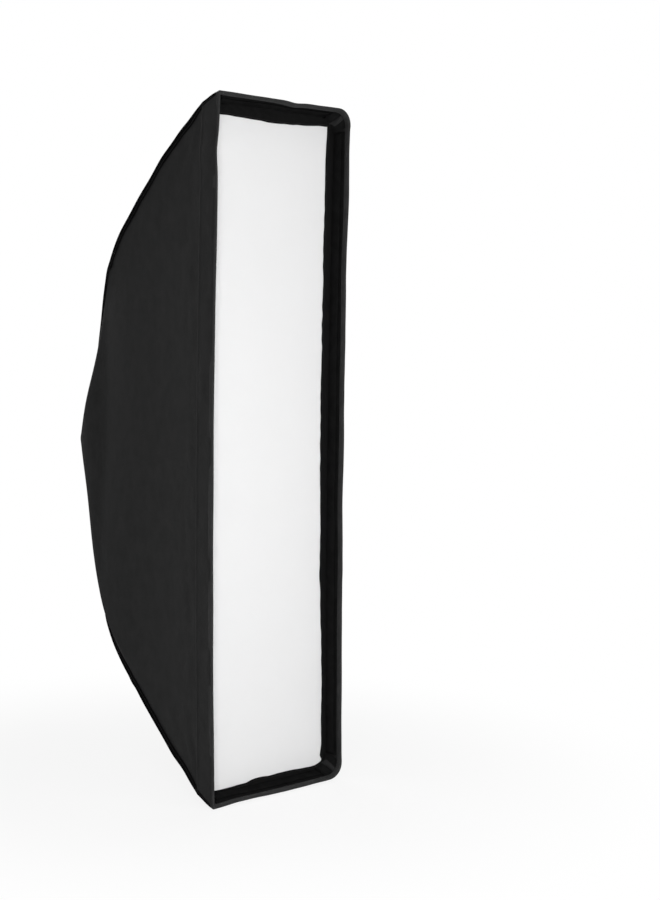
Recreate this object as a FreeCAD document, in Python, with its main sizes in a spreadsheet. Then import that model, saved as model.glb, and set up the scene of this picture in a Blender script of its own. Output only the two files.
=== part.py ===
"""Strip softbox with a rotating bayonet speedring, four bowed rods, a black fabric shell with a
silver lining, an inner baffle and a front diffuser held by hook-and-loop tape in a recessed lip.

Row frame, millimetres: the origin is the centre of the bayonet insert's rear seat, +Y points back
to the lamp, -Y to the diffuser, +Z up along the long side, +X to the viewer's right.
"""
import FreeCAD, Part
import math
import os
import re

import Sketcher

V = FreeCAD.Vector

SIZES = [
    # the box
    ("face_width", 300.0, "front opening over the hem, left to right"),
    ("face_height", 1200.0, "front opening over the hem, bottom to top"),
    ("box_depth", 491.0, "front edge of the hem to the lamp seat"),
    ("lip_depth", 50.0, "front edge to the seam where the rods end"),
    ("lip_flare_side", 4.0, "how far each long side of the lip leans out"),
    ("lip_flare_end", 12.0, "how far each short side of the lip leans out"),
    ("lip_wall", 1.2, "thickness of the lip's doubled fabric"),
    ("lip_corner_radius", 16.0, "corner of the lip at its front edge"),
    ("seam_corner_radius", 3.0, "corner of the lip at the rod seam"),
    ("hem_radius", 3.0, "rolled hem of the front edge"),
    ("fabric_wall", 1.0, "outer black fabric"),
    ("lining_wall", 0.5, "silver lining"),
    ("layer_gap", 0.3, "free space between fabric layers"),
    ("bead_radius", 1.6, "bound seam along each rod"),
    # the rods' line, shared with the corner seams
    ("root_angle", 21.2, "lean of the rod's root off the ring plane, degrees"),
    ("root_leg", 254.0, "straight length of a corner seam from the collar"),
    ("bend_radius", 248.0, "shoulder bend of the rods"),
    ("bow_radius", 4600.0, "gentle bow from the shoulder to the tip"),
    ("tent_share", 0.97, "share of the shoulder line that the collar's middle pulls flat"),
    ("rod_radius", 3.0, "fibreglass rod"),
    ("rod_inset_side", 10.0, "rod centre in from the corner seam, sideways"),
    ("rod_inset_depth", 7.5, "rod centre forward from the corner seam"),
    ("rod_inset_end", 10.0, "rod centre in from the corner seam, lengthways"),
    ("rod_short", 4.0, "how far the rod stops before the lip seam"),
    ("ferrule_wall", 0.8, "steel sleeve on the rod's root"),
    ("ferrule_length", 32.0, "length of that sleeve"),
    ("slip", 0.05, "radial clearance of pushed-on and turning pieces"),
    ("tip_radius", 4.6, "rubber cap on the rod's tip"),
    ("tip_length", 16.0, "length of that cap"),
    ("pocket_wall", 1.2, "webbing of the corner pockets"),
    ("pocket_length", 26.0, "length of a corner pocket"),
    # speedring
    ("ring_radius", 80.0, "outside of the speedring's rim"),
    ("housing_radius", 76.0, "outside of the speedring behind its rim"),
    ("ring_rear", 0.5, "speedring's rear face, forward of the lamp seat"),
    ("ring_front", 12.0, "speedring's front face, forward of the lamp seat"),
    ("rim_rear", 9.8, "rear edge of the speedring's rim"),
    ("rim_front", 18.5, "front edge of the speedring's rim"),
    ("rim_wall", 1.6, "wall of that rim"),
    ("keeper_depth", 1.7, "rear lip that keeps the insert in the speedring"),
    ("turn_gap", 0.4, "radial gap round the turning insert"),
    ("face_gap", 0.3, "axial gap round the turning insert"),
    ("bore_radius", 49.0, "lamp opening of the bayonet insert"),
    ("seat_inner_radius", 61.0, "inside of the lamp seat"),
    ("seat_outer_radius", 66.0, "outside of the lamp seat"),
    ("flange_radius", 70.0, "flange that turns in the speedring"),
    ("lug_inner_radius", 52.5, "inside of the bayonet lugs"),
    ("lug_wall", 2.5, "stem and hook thickness of the lugs"),
    ("lug_reach", 60.0, "outside of the lugs' hooks"),
    ("lug_height", 8.0, "height of the lugs behind the seat"),
    ("lug_span", 36.0, "arc of each lug, degrees"),
    ("lug_count", 3.0, "number of bayonet lugs"),
    ("web_recess", 1.2, "how far the web between bore and seat is set in"),
    ("pin_hole_radius", 2.6, "hole for the lamp's spring pin"),
    ("pin_hole_depth", 3.0, "depth of that hole"),
    # rod sockets on the speedring
    ("socket_radius", 5.8, "outside of a rod socket tube"),
    ("socket_reach", 7.0, "how far the socket follows the rod past the collar"),
    ("socket_depth", 15.0, "length of rod inside its socket"),
    ("socket_end", 3.0, "closed end of the socket"),
    ("foot_inner_radius", 68.0, "inside of the socket's foot"),
    ("foot_thickness", 4.0, "thickness of the socket's foot"),
    ("foot_span", 28.0, "arc of the socket's foot, degrees"),
    ("post_width", 9.0, "post between foot and tube"),
    ("screw_circle", 73.2, "radius on which the socket screws stand"),
    ("screw_spread", 10.5, "angle from a socket's middle to its screws, degrees"),
    ("screw_radius", 1.5, "socket screw shank"),
    ("screw_grip", 6.0, "screw length inside the speedring"),
    ("screw_head_radius", 2.8, "socket screw head"),
    ("screw_head", 1.9, "height of that head"),
    # thumb screws that lock the insert
    ("lock_radius", 2.5, "lock screw shank"),
    ("lock_gap", 0.25, "gap from the lock screw's tip to the insert"),
    ("knob_radius", 6.5, "lock screw knob"),
    ("knob_length", 12.0, "length of that knob"),
    ("knob_stand_off", 8.0, "knob clear of the speedring"),
    ("knob_socket", 8.0, "length of the shank inside the knob"),
    ("flute_radius", 1.2, "grip flutes of the knob"),
    ("flute_count", 12.0, "number of flutes"),
    # rear collar
    ("shell_rear", 15.0, "where the shell starts, forward of the lamp seat"),
    ("collar_rear", 10.5, "rear edge of the collar, forward of the lamp seat"),
    ("collar_front", 18.0, "front edge of the collar, forward of the lamp seat"),
    ("collar_wall", 1.2, "collar band"),
    # front diffuser and its tapes
    ("loop_front", 9.0, "front edge of the loop tape, from the front"),
    ("loop_width", 28.0, "width of the loop tape"),
    ("loop_thickness", 2.6, "loop tape with its backing"),
    ("diffuser_front", 14.0, "front edge of the hook tape, from the front"),
    ("diffuser_recess", 34.0, "diffuser's front face, from the front"),
    ("diffuser_wall", 0.8, "white diffuser fabric"),
    ("diffuser_lap", 4.0, "diffuser fabric's edge inside the border's edge"),
    ("hook_wall", 1.2, "hook tape and the flat border that it stands on"),
    ("hook_border", 16.0, "width of the flat black border"),
    ("hook_corner_radius", 10.0, "corner of the flat black border"),
    # inner baffle
    ("baffle_recess", 200.0, "baffle's front face, from the front"),
    ("baffle_wall", 0.8, "baffle fabric"),
    ("baffle_gap_side", 26.0, "baffle's edge in from the rods, sideways"),
    ("baffle_gap_end", 58.0, "baffle's edge in from the rods, lengthways"),
    ("binding_width", 10.0, "binding round the baffle"),
    ("binding_wall", 1.0, "thickness of that binding"),
    ("strap_width", 14.0, "elastic strap at each baffle corner"),
    ("strap_wall", 1.2, "thickness of the strap"),
    ("strap_lap", 20.0, "strap's length over the baffle"),
    ("snap_radius", 5.5, "snap fastener cap"),
    ("snap_height", 1.6, "height of that cap"),
    ("snap_stem_radius", 1.8, "stem of the snap fastener"),
]
ALIASES = {alias for alias, _, _ in SIZES}
FOUR_CORNERS = ("upper_right", "upper_left", "lower_right", "lower_left")
LOCK_ANGLES = {"right": 0.0, "upper": 120.0, "lower": 240.0}

doc = FreeCAD.newDocument("StripSoftbox")
sheet = doc.addObject("Spreadsheet::Sheet", "Dimensions")
for row, (alias, value, note) in enumerate(SIZES, start=1):
    sheet.set(f"A{row}", note)
    sheet.set(f"B{row}", str(value))
    sheet.setAlias(f"B{row}", alias)
doc.recompute()


class Dimensions:
    """The sheet's cells as plain numbers, for the shapes that are set with Part's functions."""

    def __getattr__(self, alias):
        return float(sheet.get(alias))


d = Dimensions()
nodes = {}


def node(name, obj):
    """Names a finished piece; its label is its file's name."""
    obj.Label = name
    nodes[name] = obj
    return obj


def bound(text):
    """A sheet expression with every alias written as Dimensions.alias."""
    return re.sub(r"[a-z][a-z_]*", lambda m: f"Dimensions.{m[0]}" if m[0] in ALIASES else m[0], text)


# ---- Part primitives and booleans bound to the sheet -------------------------------------------

def turned_to(axis):
    return FreeCAD.Rotation(V(0, 0, 1), axis)


def cylinder(name, radius, height, base, axis):
    obj = doc.addObject("Part::Cylinder", name)
    obj.setExpression("Radius", bound(radius))
    obj.setExpression("Height", bound(height))
    obj.Placement = FreeCAD.Placement(base, turned_to(axis))
    return obj


def box(name, length, width, height, placement):
    """Each side is a sheet expression, or a number that follows from the seam line."""
    obj = doc.addObject("Part::Box", name)
    for side, size in (("Length", length), ("Width", width), ("Height", height)):
        if isinstance(size, str):
            obj.setExpression(side, bound(size))
        else:
            setattr(obj, side, size)
    obj.Placement = placement
    return obj


def cut(name, base, *tools):
    for i, tool in enumerate(tools):
        obj = doc.addObject("Part::Cut", f"{name}_cut{i}")
        obj.Base = base
        obj.Tool = tool
        base = obj
    return base


def fuse(name, *shapes):
    obj = doc.addObject("Part::MultiFuse", name)
    obj.Shapes = list(shapes)
    obj.Refine = True
    return obj


def feature(name, shape):
    obj = doc.addObject("Part::Feature", name)
    obj.Shape = shape
    return obj


def mirrored(name, source, normal):
    obj = doc.addObject("Part::Mirroring", name)
    obj.Source = source
    obj.Normal = normal
    return obj


def at_four_corners(kind, upper_right):
    """The upper right piece and its three mirror images, each a node of its own."""
    upper_left = mirrored(f"{kind}_upper_left", upper_right, V(1, 0, 0))
    lower_right = mirrored(f"{kind}_lower_right", upper_right, V(0, 0, 1))
    lower_left = mirrored(f"{kind}_lower_left", upper_left, V(0, 0, 1))
    for corner, obj in zip(FOUR_CORNERS, (upper_right, upper_left, lower_right, lower_left)):
        node(f"{kind}_{corner}", obj)


# ---- PartDesign bodies -------------------------------------------------------------------------

def new_body(name):
    return node(name, doc.addObject("PartDesign::Body", name))


def origin_feature(body, role):
    return next(f for f in body.Origin.OriginFeatures if f.Role == role)


def sketch_on(body, plane, name):
    sketch = body.newObject("Sketcher::SketchObject", name)
    sketch.AttachmentSupport = [(origin_feature(body, plane), "")]
    sketch.MapMode = "FlatFace"
    return sketch


def place_point(sketch, geometry, point, x, y):
    """Pins a sketch point to two sheet expressions, measured from the sketch's origin."""
    for kind, text in (("DistanceX", x), ("DistanceY", y)):
        index = sketch.addConstraint(Sketcher.Constraint(kind, -1, 1, geometry, point, 1.0))
        sketch.setExpression(f"Constraints[{index}]", bound(text))


def polygon(body, plane, name, corners):
    """A closed outline whose corners are pairs of sheet expressions."""
    sketch = sketch_on(body, plane, name)
    count = len(corners)
    start = [V(math.cos(2 * math.pi * i / count), math.sin(2 * math.pi * i / count)) for i in range(count)]
    for i in range(count):
        sketch.addGeometry(Part.LineSegment(start[i], start[(i + 1) % count]))
    for i in range(count):
        sketch.addConstraint(Sketcher.Constraint("Coincident", i, 2, (i + 1) % count, 1))
    for i, (x, y) in enumerate(corners):
        place_point(sketch, i, 1, x, y)
    return sketch


def circles(body, plane, name, radius, centres):
    """Equal circles whose centres are pairs of sheet expressions."""
    sketch = sketch_on(body, plane, name)
    for i, (x, y) in enumerate(centres):
        sketch.addGeometry(Part.Circle(V(i, i), V(0, 0, 1), 1.0))
        index = sketch.addConstraint(Sketcher.Constraint("Radius", i, 1.0))
        sketch.setExpression(f"Constraints[{index}]", bound(radius))
        place_point(sketch, i, 3, x, y)
    return sketch


def revolved(body, sketch, name, kind="PartDesign::Revolution", span=None):
    """Turns a profile drawn as radius and depth about the ring's axis."""
    obj = body.newObject(kind, name)
    obj.Profile = sketch
    obj.ReferenceAxis = (sketch, ["V_Axis"])
    obj.Angle = 360.0
    if span:
        obj.Midplane = True
        obj.setExpression("Angle", bound(span))
    return obj


def pocketed(body, sketch, name, depth, reverse=False):
    obj = body.newObject("PartDesign::Pocket", name)
    obj.Profile = sketch
    obj.setExpression("Length", bound(depth))
    obj.Reversed = reverse
    return obj


def patterned(body, original, name, count):
    """Repeats a feature evenly about the ring's axis."""
    doc.recompute()
    obj = body.newObject("PartDesign::PolarPattern", name)
    obj.Originals = [original]
    obj.Axis = (origin_feature(body, "Y_Axis"), [""])
    obj.Angle = 360.0
    if count in ALIASES:
        obj.setExpression("Occurrences", bound(count))
    else:
        obj.Occurrences = int(count)
    body.Tip = obj
    return obj


# ---- the line of the rods and corner seams -----------------------------------------------------

class SeamLine:
    """Corner seam of the upper right quarter, from the collar to the lip: a straight root leg,
    a shoulder bend and a gentle bow, all in one upright plane. The bow is the arc that leaves the
    bend without a kink and passes through the lip's corner."""

    def __init__(self):
        layers = d.collar_wall + d.fabric_wall + d.lining_wall + 5 * d.layer_gap
        corner = (d.ring_radius + layers) / math.sqrt(2)
        self.root = V(corner, -d.shell_rear, corner)
        self.tip = V(d.face_width / 2 - d.lip_flare_side, d.lip_depth - d.box_depth,
                     d.face_height / 2 - d.lip_flare_end)
        plan = V(self.tip.x - self.root.x, 0, self.tip.z - self.root.z)
        self.run = plan.Length
        self.plan = plan.normalize()
        drop = self.root.y - self.tip.y
        start = math.radians(d.root_angle)
        knee = V(d.root_leg * math.cos(start), d.root_leg * math.sin(start))
        bend = knee + V(-math.sin(start), math.cos(start)) * d.bend_radius
        to_tip = V(self.run, drop) - bend
        reach = to_tip.Length
        gap = d.bow_radius - d.bend_radius
        along = (gap ** 2 - d.bow_radius ** 2 + reach ** 2) / (2 * reach)
        across = math.sqrt(gap ** 2 - along ** 2)
        unit = to_tip / reach
        bow = bend + unit * along + V(-unit.y, unit.x) * across
        self.bend, self.bow = bend, bow
        self.start = start
        self.shoulder = math.atan2(bend.x - bow.x, bow.y - bend.y)
        self.end = math.atan2(self.run - bow.x, bow.y - drop)

    def on_arc(self, centre, radius, angle):
        return centre + V(math.sin(angle), -math.cos(angle)) * radius

    def place(self, flat, shift=V()):
        """A point given as distance along the plan and drop towards the front."""
        return self.root + self.plan * flat.x + V(0, -flat.y, 0) + shift

    def stations(self, shorten=0.0):
        """Start, knee, mid bend, shoulder, mid bow and tip as plan distance and drop."""
        end = self.end - shorten / d.bow_radius
        middle = (self.start + self.shoulder) / 2
        late = (self.shoulder + end) / 2
        return [
            V(0, 0),
            self.on_arc(self.bend, d.bend_radius, self.start),
            self.on_arc(self.bend, d.bend_radius, middle),
            self.on_arc(self.bend, d.bend_radius, self.shoulder),
            self.on_arc(self.bow, d.bow_radius, late),
            self.on_arc(self.bow, d.bow_radius, end),
        ]

    def edges(self, shift=V(), start=0.0, shorten=0.0):
        """Line, bend and bow; start moves the beginning along the root leg, shorten the end."""
        p = [self.place(flat, shift) for flat in self.stations(shorten)]
        first = p[0] + self.root_direction() * start
        return [
            Part.LineSegment(first, p[1]).toShape(),
            Part.Arc(p[1], p[2], p[3]).toShape(),
            Part.Arc(p[3], p[4], p[5]).toShape(),
        ]

    def direction(self, angle):
        return self.plan * math.cos(angle) + V(0, -math.sin(angle), 0)

    def root_direction(self):
        return self.direction(self.start)

    def tip_direction(self):
        return self.direction(self.end)

    def at_depth(self, y, shift=V()):
        """Point and direction on the bow at a depth of the row frame."""
        drop = self.root.y - (y - shift.y)
        angle = math.acos((self.bow.y - drop) / d.bow_radius)
        return self.place(self.on_arc(self.bow, d.bow_radius, angle), shift), self.direction(angle)


seam = SeamLine()
rod_shift = V(-d.rod_inset_side, -d.rod_inset_depth, -d.rod_inset_end)


def flip(vector, x=1, z=1):
    return V(vector.x * x, vector.y, vector.z * z)


# ---- bayonet insert and speedring --------------------------------------------------------------

def bayonet_insert():
    body = new_body("bayonet_insert")
    profile = polygon(body, "XY_Plane", "insert_profile", [
        ("bore_radius", "0"),
        ("bore_radius + 2", "0"),
        ("bore_radius + 2", "-web_recess"),
        ("seat_inner_radius", "-web_recess"),
        ("seat_inner_radius", "0"),
        ("seat_outer_radius", "0"),
        ("seat_outer_radius", "-ring_rear - keeper_depth - face_gap"),
        ("flange_radius", "-ring_rear - keeper_depth - face_gap"),
        ("flange_radius", "face_gap - ring_front"),
        ("bore_radius", "face_gap - ring_front"),
    ])
    revolved(body, profile, "insert_turning")
    channel = polygon(body, "XY_Plane", "insert_channel", [
        ("bore_radius + 4", "-ring_front"),
        ("seat_outer_radius - 4", "-ring_front"),
        ("seat_outer_radius - 4", "-web_recess - 3"),
        ("bore_radius + 4", "-web_recess - 3"),
    ])
    revolved(body, channel, "insert_relief", "PartDesign::Groove")
    lug = polygon(body, "XY_Plane", "lug_profile", [
        ("lug_inner_radius", "-web_recess - 1"),
        ("lug_inner_radius + lug_wall", "-web_recess - 1"),
        ("lug_inner_radius + lug_wall", "lug_height - lug_wall"),
        ("lug_reach", "lug_height - lug_wall"),
        ("lug_reach", "lug_height"),
        ("lug_inner_radius", "lug_height"),
    ])
    first_lug = revolved(body, lug, "lug", span="lug_span")
    patterned(body, first_lug, "lugs", "lug_count")
    pin_hole = circles(body, "XZ_Plane", "pin_hole_circle", "pin_hole_radius",
                       [("-(seat_inner_radius + seat_outer_radius) / 2", "0")])
    body.Tip = pocketed(body, pin_hole, "pin_hole", "pin_hole_depth", reverse=True)
    return body


def socket_screw_angles():
    """Angles of the eight socket screws round the ring, as sheet expressions."""
    return [f"{base} {sign} screw_spread" for base in (45, 135, 225, 315) for sign in "+-"]


def speedring_body():
    body = new_body("speedring_body")
    profile = polygon(body, "XY_Plane", "ring_profile", [
        ("seat_outer_radius + turn_gap", "-ring_rear"),
        ("housing_radius", "-ring_rear"),
        ("housing_radius", "-rim_rear"),
        ("ring_radius", "-rim_rear"),
        ("ring_radius", "-rim_front"),
        ("ring_radius - rim_wall", "-rim_front"),
        ("ring_radius - rim_wall", "-ring_front"),
        ("flange_radius + turn_gap", "-ring_front"),
        ("flange_radius + turn_gap", "-ring_rear - keeper_depth"),
        ("seat_outer_radius + turn_gap", "-ring_rear - keeper_depth"),
    ])
    revolved(body, profile, "ring_turning")
    lock = circles(body, "YZ_Plane", "lock_hole_circle", "lock_radius + slip",
                   [("-(ring_rear + keeper_depth + rim_rear) / 2", "0")])
    lock.setExpression("AttachmentOffset.Base.z", bound("flange_radius"))
    lock_hole = pocketed(body, lock, "lock_hole", "housing_radius - flange_radius + 1", reverse=True)
    patterned(body, lock_hole, "lock_holes", str(len(LOCK_ANGLES)))
    spots = [(f"screw_circle * cos({a})", f"screw_circle * sin({a})") for a in socket_screw_angles()]
    screws = circles(body, "XZ_Plane", "screw_hole_circles", "screw_radius + slip", spots)
    screws.setExpression("AttachmentOffset.Base.z", bound("ring_front"))
    body.Tip = pocketed(body, screws, "screw_holes", "screw_grip + 0.5")
    return body


def socket_screw_spots():
    """Where each socket screw crosses the speedring's front face."""
    spots = []
    for base in (45, 135, 225, 315):
        for spread in (d.screw_spread, -d.screw_spread):
            angle = math.radians(base + spread)
            spots.append(V(math.cos(angle) * d.screw_circle, -d.ring_front, math.sin(angle) * d.screw_circle))
    return spots


def rod_sockets():
    """Cast sockets on the speedring's front face, each a foot, a post and a bored tube. The feet
    overlap the insert's flange and so keep it in the ring."""
    half_span = d.foot_span / 2
    sector = doc.addObject("Part::Cylinder", "socket_foot_disc")
    sector.setExpression("Radius", bound("ring_radius - rim_wall - turn_gap"))
    sector.setExpression("Height", bound("foot_thickness"))
    sector.setExpression("Angle", bound("foot_span"))
    forward = FreeCAD.Rotation(V(1, 0, 0), 90)
    start = FreeCAD.Rotation(V(0, 1, 0), -(45 - half_span))
    sector.Placement = FreeCAD.Placement(V(0, -d.ring_front, 0), start * forward)
    bore_of_foot = cylinder("socket_foot_bore", "foot_inner_radius", "foot_thickness + 2",
                            V(0, 1 - d.ring_front, 0), V(0, -1, 0))
    foot = cut("socket_foot", sector, bore_of_foot)

    lead = seam.root_direction()
    mouth = seam.root + rod_shift + lead * d.socket_reach
    inner_end = mouth - lead * (d.socket_depth + d.socket_end)
    tube = cylinder("socket_tube", "socket_radius", "socket_depth + socket_end", inner_end, lead)
    across = V(0, 1, 0).cross(seam.plan)
    height = -d.ring_front - (mouth - lead * d.socket_depth / 2).y
    frame = FreeCAD.Rotation(seam.plan, V(0, -1, 0), across, "XYZ")
    corner = V(inner_end.x, -d.ring_front, inner_end.z) - across * (d.post_width / 2)
    post = box("socket_post", "socket_depth + socket_end - 1", height, "post_width",
               FreeCAD.Placement(corner, frame))
    casting = fuse("socket_casting", foot, post, tube)
    bore = cylinder("socket_bore", "rod_radius + ferrule_wall + slip", "socket_depth + 5",
                    mouth - lead * d.socket_depth, lead)
    holes = []
    for i, spread in enumerate((d.screw_spread, -d.screw_spread)):
        angle = math.radians(45 + spread)
        spot = V(math.cos(angle) * d.screw_circle, 1 - d.ring_front, math.sin(angle) * d.screw_circle)
        holes.append(cylinder(f"socket_hole{i}", "screw_radius + 2 * slip", "foot_thickness + 2",
                              spot, V(0, -1, 0)))
    at_four_corners("rod_socket", cut("rod_socket", casting, bore, *holes))


def socket_screws():
    """Eight pan-head screws through the sockets' feet, one node of separate solids."""
    screws = []
    for spot in socket_screw_spots():
        shank = Part.makeCylinder(d.screw_radius, d.foot_thickness + d.screw_grip,
                                  spot + V(0, d.screw_grip, 0), V(0, -1, 0))
        seat = spot + V(0, -d.foot_thickness, 0)
        head = Part.makeCylinder(d.screw_head_radius, d.screw_head, seat, V(0, -1, 0))
        slot = Part.makeBox(d.screw_head_radius * 2, d.screw_head / 2, d.screw_radius / 2,
                            seat - V(d.screw_head_radius, d.screw_head, d.screw_radius / 4))
        screws.append(shank.fuse(head).removeSplitter().cut(slot))
    node("socket_screws", feature("socket_screws", Part.makeCompound(screws)))


def lock_screws():
    """Thumb screws that clamp the insert's flange, each a threaded shank and a fluted knob."""
    middle = -(d.ring_rear + d.keeper_depth + d.rim_rear) / 2
    knob_start = d.housing_radius + d.knob_stand_off
    for place, angle in LOCK_ANGLES.items():
        turn = math.radians(angle)
        out = V(math.cos(turn), 0, math.sin(turn))
        tip = out * (d.flange_radius + d.lock_gap) + V(0, middle, 0)
        shank = cylinder(f"lock_screw_{place}", "lock_radius",
                         "housing_radius + knob_stand_off + knob_socket - flange_radius - lock_gap", tip, out)
        node(f"lock_screw_{place}", shank)
        base = out * knob_start + V(0, middle, 0)
        blank = cylinder(f"knob_blank_{place}", "knob_radius", "knob_length", base, out)
        socket = cylinder(f"knob_socket_{place}", "lock_radius + slip", "knob_socket + layer_gap", base, out)
        flutes = []
        side = turned_to(out)
        for i in range(int(d.flute_count)):
            around = 2 * math.pi * i / d.flute_count
            offset = side.multVec(V(math.cos(around), math.sin(around), 0) * d.knob_radius)
            flutes.append(cylinder(f"flute_{place}_{i}", "flute_radius", "knob_length", base + offset, out))
        node(f"lock_knob_{place}", cut(f"lock_knob_{place}", blank, socket, fuse(f"flutes_{place}", *flutes)))


# ---- rods --------------------------------------------------------------------------------------

def swept(edges, radius):
    """A round bar along tangent edges."""
    path = Part.Wire(edges)
    start = edges[0].Vertexes[0].Point
    heading = edges[0].tangentAt(edges[0].FirstParameter)
    section = Part.Wire(Part.makeCircle(radius, start, heading))
    return path.makePipeShell([section], True, False)


def rods():
    start = d.socket_reach - d.socket_depth + d.layer_gap
    bar = swept(seam.edges(rod_shift, start, d.rod_short), d.rod_radius)
    at_four_corners("rod", feature("rod", bar))

    lead = seam.root_direction()
    root = seam.root + rod_shift + lead * start
    sleeve = cylinder("ferrule_sleeve", "rod_radius + ferrule_wall", "ferrule_length", root, lead)
    hole = cylinder("ferrule_hole", "rod_radius + slip / 2", "ferrule_length + 2", root - lead, lead)
    at_four_corners("rod_ferrule", cut("rod_ferrule", sleeve, hole))

    ahead = seam.tip_direction()
    tip = seam.place(seam.stations(d.rod_short)[-1], rod_shift)
    cap_start = tip - ahead * (d.tip_length - d.tip_radius)
    cap = cylinder("tip_cap", "tip_radius", "tip_length - tip_radius", cap_start, ahead)
    nose = doc.addObject("Part::Sphere", "tip_nose")
    nose.setExpression("Radius", bound("tip_radius"))
    nose.Placement = FreeCAD.Placement(tip, FreeCAD.Rotation())
    seat = cylinder("tip_seat", "rod_radius + 3 * slip", "tip_length", tip + ahead * d.layer_gap, ahead * -1)
    at_four_corners("rod_tip", cut("rod_tip", fuse("tip_solid", cap, nose), seat))

    end = tip + ahead * (d.tip_radius + d.layer_gap + d.pocket_wall)
    inside = "tip_radius + layer_gap"
    cup = cylinder("pocket_cup", inside + " + pocket_wall", "pocket_length", end, ahead * -1)
    hollow = cylinder("pocket_hollow", inside, "pocket_length", end - ahead * d.pocket_wall, ahead * -1)
    at_four_corners("corner_pocket", cut("corner_pocket", cup, hollow))


# ---- shell -------------------------------------------------------------------------------------

def curved_panel(shift, thickness, upright):
    """A shell panel on the +Z side, or on the +X side if upright: from an arc of the collar to
    the lip, between two corner seams that are mirror images. Behind the shoulder the cloth is
    pulled flat from the collar's middle, with a fan at each side; ahead it is ruled across."""
    x, z = (1, -1) if upright else (-1, 1)
    p = [seam.place(flat, shift) for flat in seam.stations()]
    q = [flip(point, x, z) for point in p]
    across = p[0].x if upright else p[0].z
    bulge = math.hypot(seam.root.x, seam.root.z) - (seam.root.x - across)
    crown = V(bulge, p[0].y, 0) if upright else V(0, p[0].y, bulge)
    collar = Part.Arc(p[0], crown, q[0])
    length = collar.LastParameter - collar.FirstParameter
    near, far = (collar.value(collar.FirstParameter + length * share) for share in (0.25, 0.75))
    side = (p[1] - q[1]) * ((1 - d.tent_share) / 2)
    inner_p, inner_q = p[1] - side, q[1] + side
    faces = [
        Part.makeRuledSurface(Part.Arc(p[0], near, crown).toShape(), Part.makeLine(p[1], inner_p)),
        Part.Face(Part.makePolygon([crown, inner_p, inner_q, crown])),
        Part.makeRuledSurface(Part.Arc(crown, far, q[0]).toShape(), Part.makeLine(inner_q, q[1])),
    ]
    faces += [
        Part.makeRuledSurface(Part.Arc(*p[i:i + 3]).toShape(), Part.Arc(*q[i:i + 3]).toShape())
        for i in (1, 3)
    ]
    slabs = [face.extrude(thickness) for face in faces]
    return slabs[0].fuse(slabs[1:]).removeSplitter()


def both_sides(kind, names, obj, normal):
    """A piece and its mirror image as two nodes."""
    node(f"{names[0]}_{kind}", obj)
    node(f"{names[1]}_{kind}", mirrored(f"{names[1]}_{kind}", obj, normal))


def shell_layers():
    """Outer fabric and lining. The end panels lie over the side panels along each seam, and each
    layer is set in by the layers outside it."""
    end_lean = V(0, -0.8, -0.6)
    side_lean = V(-0.95, -0.3, 0)
    skin = d.fabric_wall + d.layer_gap
    inner = d.lining_wall + d.layer_gap
    ends, sides = ("top", "bottom"), ("right", "left")
    both_sides("panel", ends, feature("top_panel", curved_panel(V(), end_lean * d.fabric_wall, False)), V(0, 0, 1))
    side_shift = end_lean * skin
    side = curved_panel(side_shift, side_lean * d.fabric_wall, True)
    both_sides("panel", sides, feature("right_panel", side), V(1, 0, 0))
    lining_shift = end_lean * skin + V(-skin - d.layer_gap, 0, 0)
    lining = curved_panel(lining_shift, end_lean * d.lining_wall, False)
    both_sides("lining", ends, feature("top_lining", lining), V(0, 0, 1))
    side_lining_shift = end_lean * (skin + inner) + side_lean * skin
    side_lining = curved_panel(side_lining_shift, side_lean * d.lining_wall, True)
    both_sides("lining", sides, feature("right_lining", side_lining), V(1, 0, 0))


def corner_seams():
    """Bound seams outside the corners, clear of both panels."""
    shift = V(0.97, 0.25, 0) * (d.bead_radius + d.layer_gap)
    at_four_corners("corner_seam", feature("corner_seam", swept(seam.edges(shift), d.bead_radius)))


def rounded_frame(half_x, half_z, radius, y):
    """A closed rounded rectangle in the plane of the front."""
    edges = []
    corners = [(1, 1), (-1, 1), (-1, -1), (1, -1)]
    diagonal = radius * (1 - math.sqrt(0.5))
    for i, (sx, sz) in enumerate(corners):
        before = V(sx * half_x, y, sz * (half_z - radius))
        after = V(sx * (half_x - radius), y, sz * half_z)
        if sx * sz < 0:
            before, after = after, before
        through = V(sx * (half_x - diagonal), y, sz * (half_z - diagonal))
        edges.append(Part.Arc(before, through, after).toShape())
        nx, nz = corners[(i + 1) % 4]
        following = V(nx * (half_x - radius), y, nz * half_z) if nx * nz < 0 else V(nx * half_x, y, nz * (half_z - radius))
        edges.append(Part.LineSegment(after, following).toShape())
    return Part.Wire(edges)


def frame_prism(half_x, half_z, radius, front, rear):
    """A rounded rectangular block between two depths measured from the front edge."""
    face = Part.Face(rounded_frame(half_x, half_z, radius, front - d.box_depth))
    return face.extrude(V(0, rear - front, 0))


def lip_half_sizes(depth):
    """Outside half width and half height of the lip at a depth from the front edge."""
    share = depth / d.lip_depth
    return (d.face_width / 2 - d.lip_flare_side * share, d.face_height / 2 - d.lip_flare_end * share)


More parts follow.
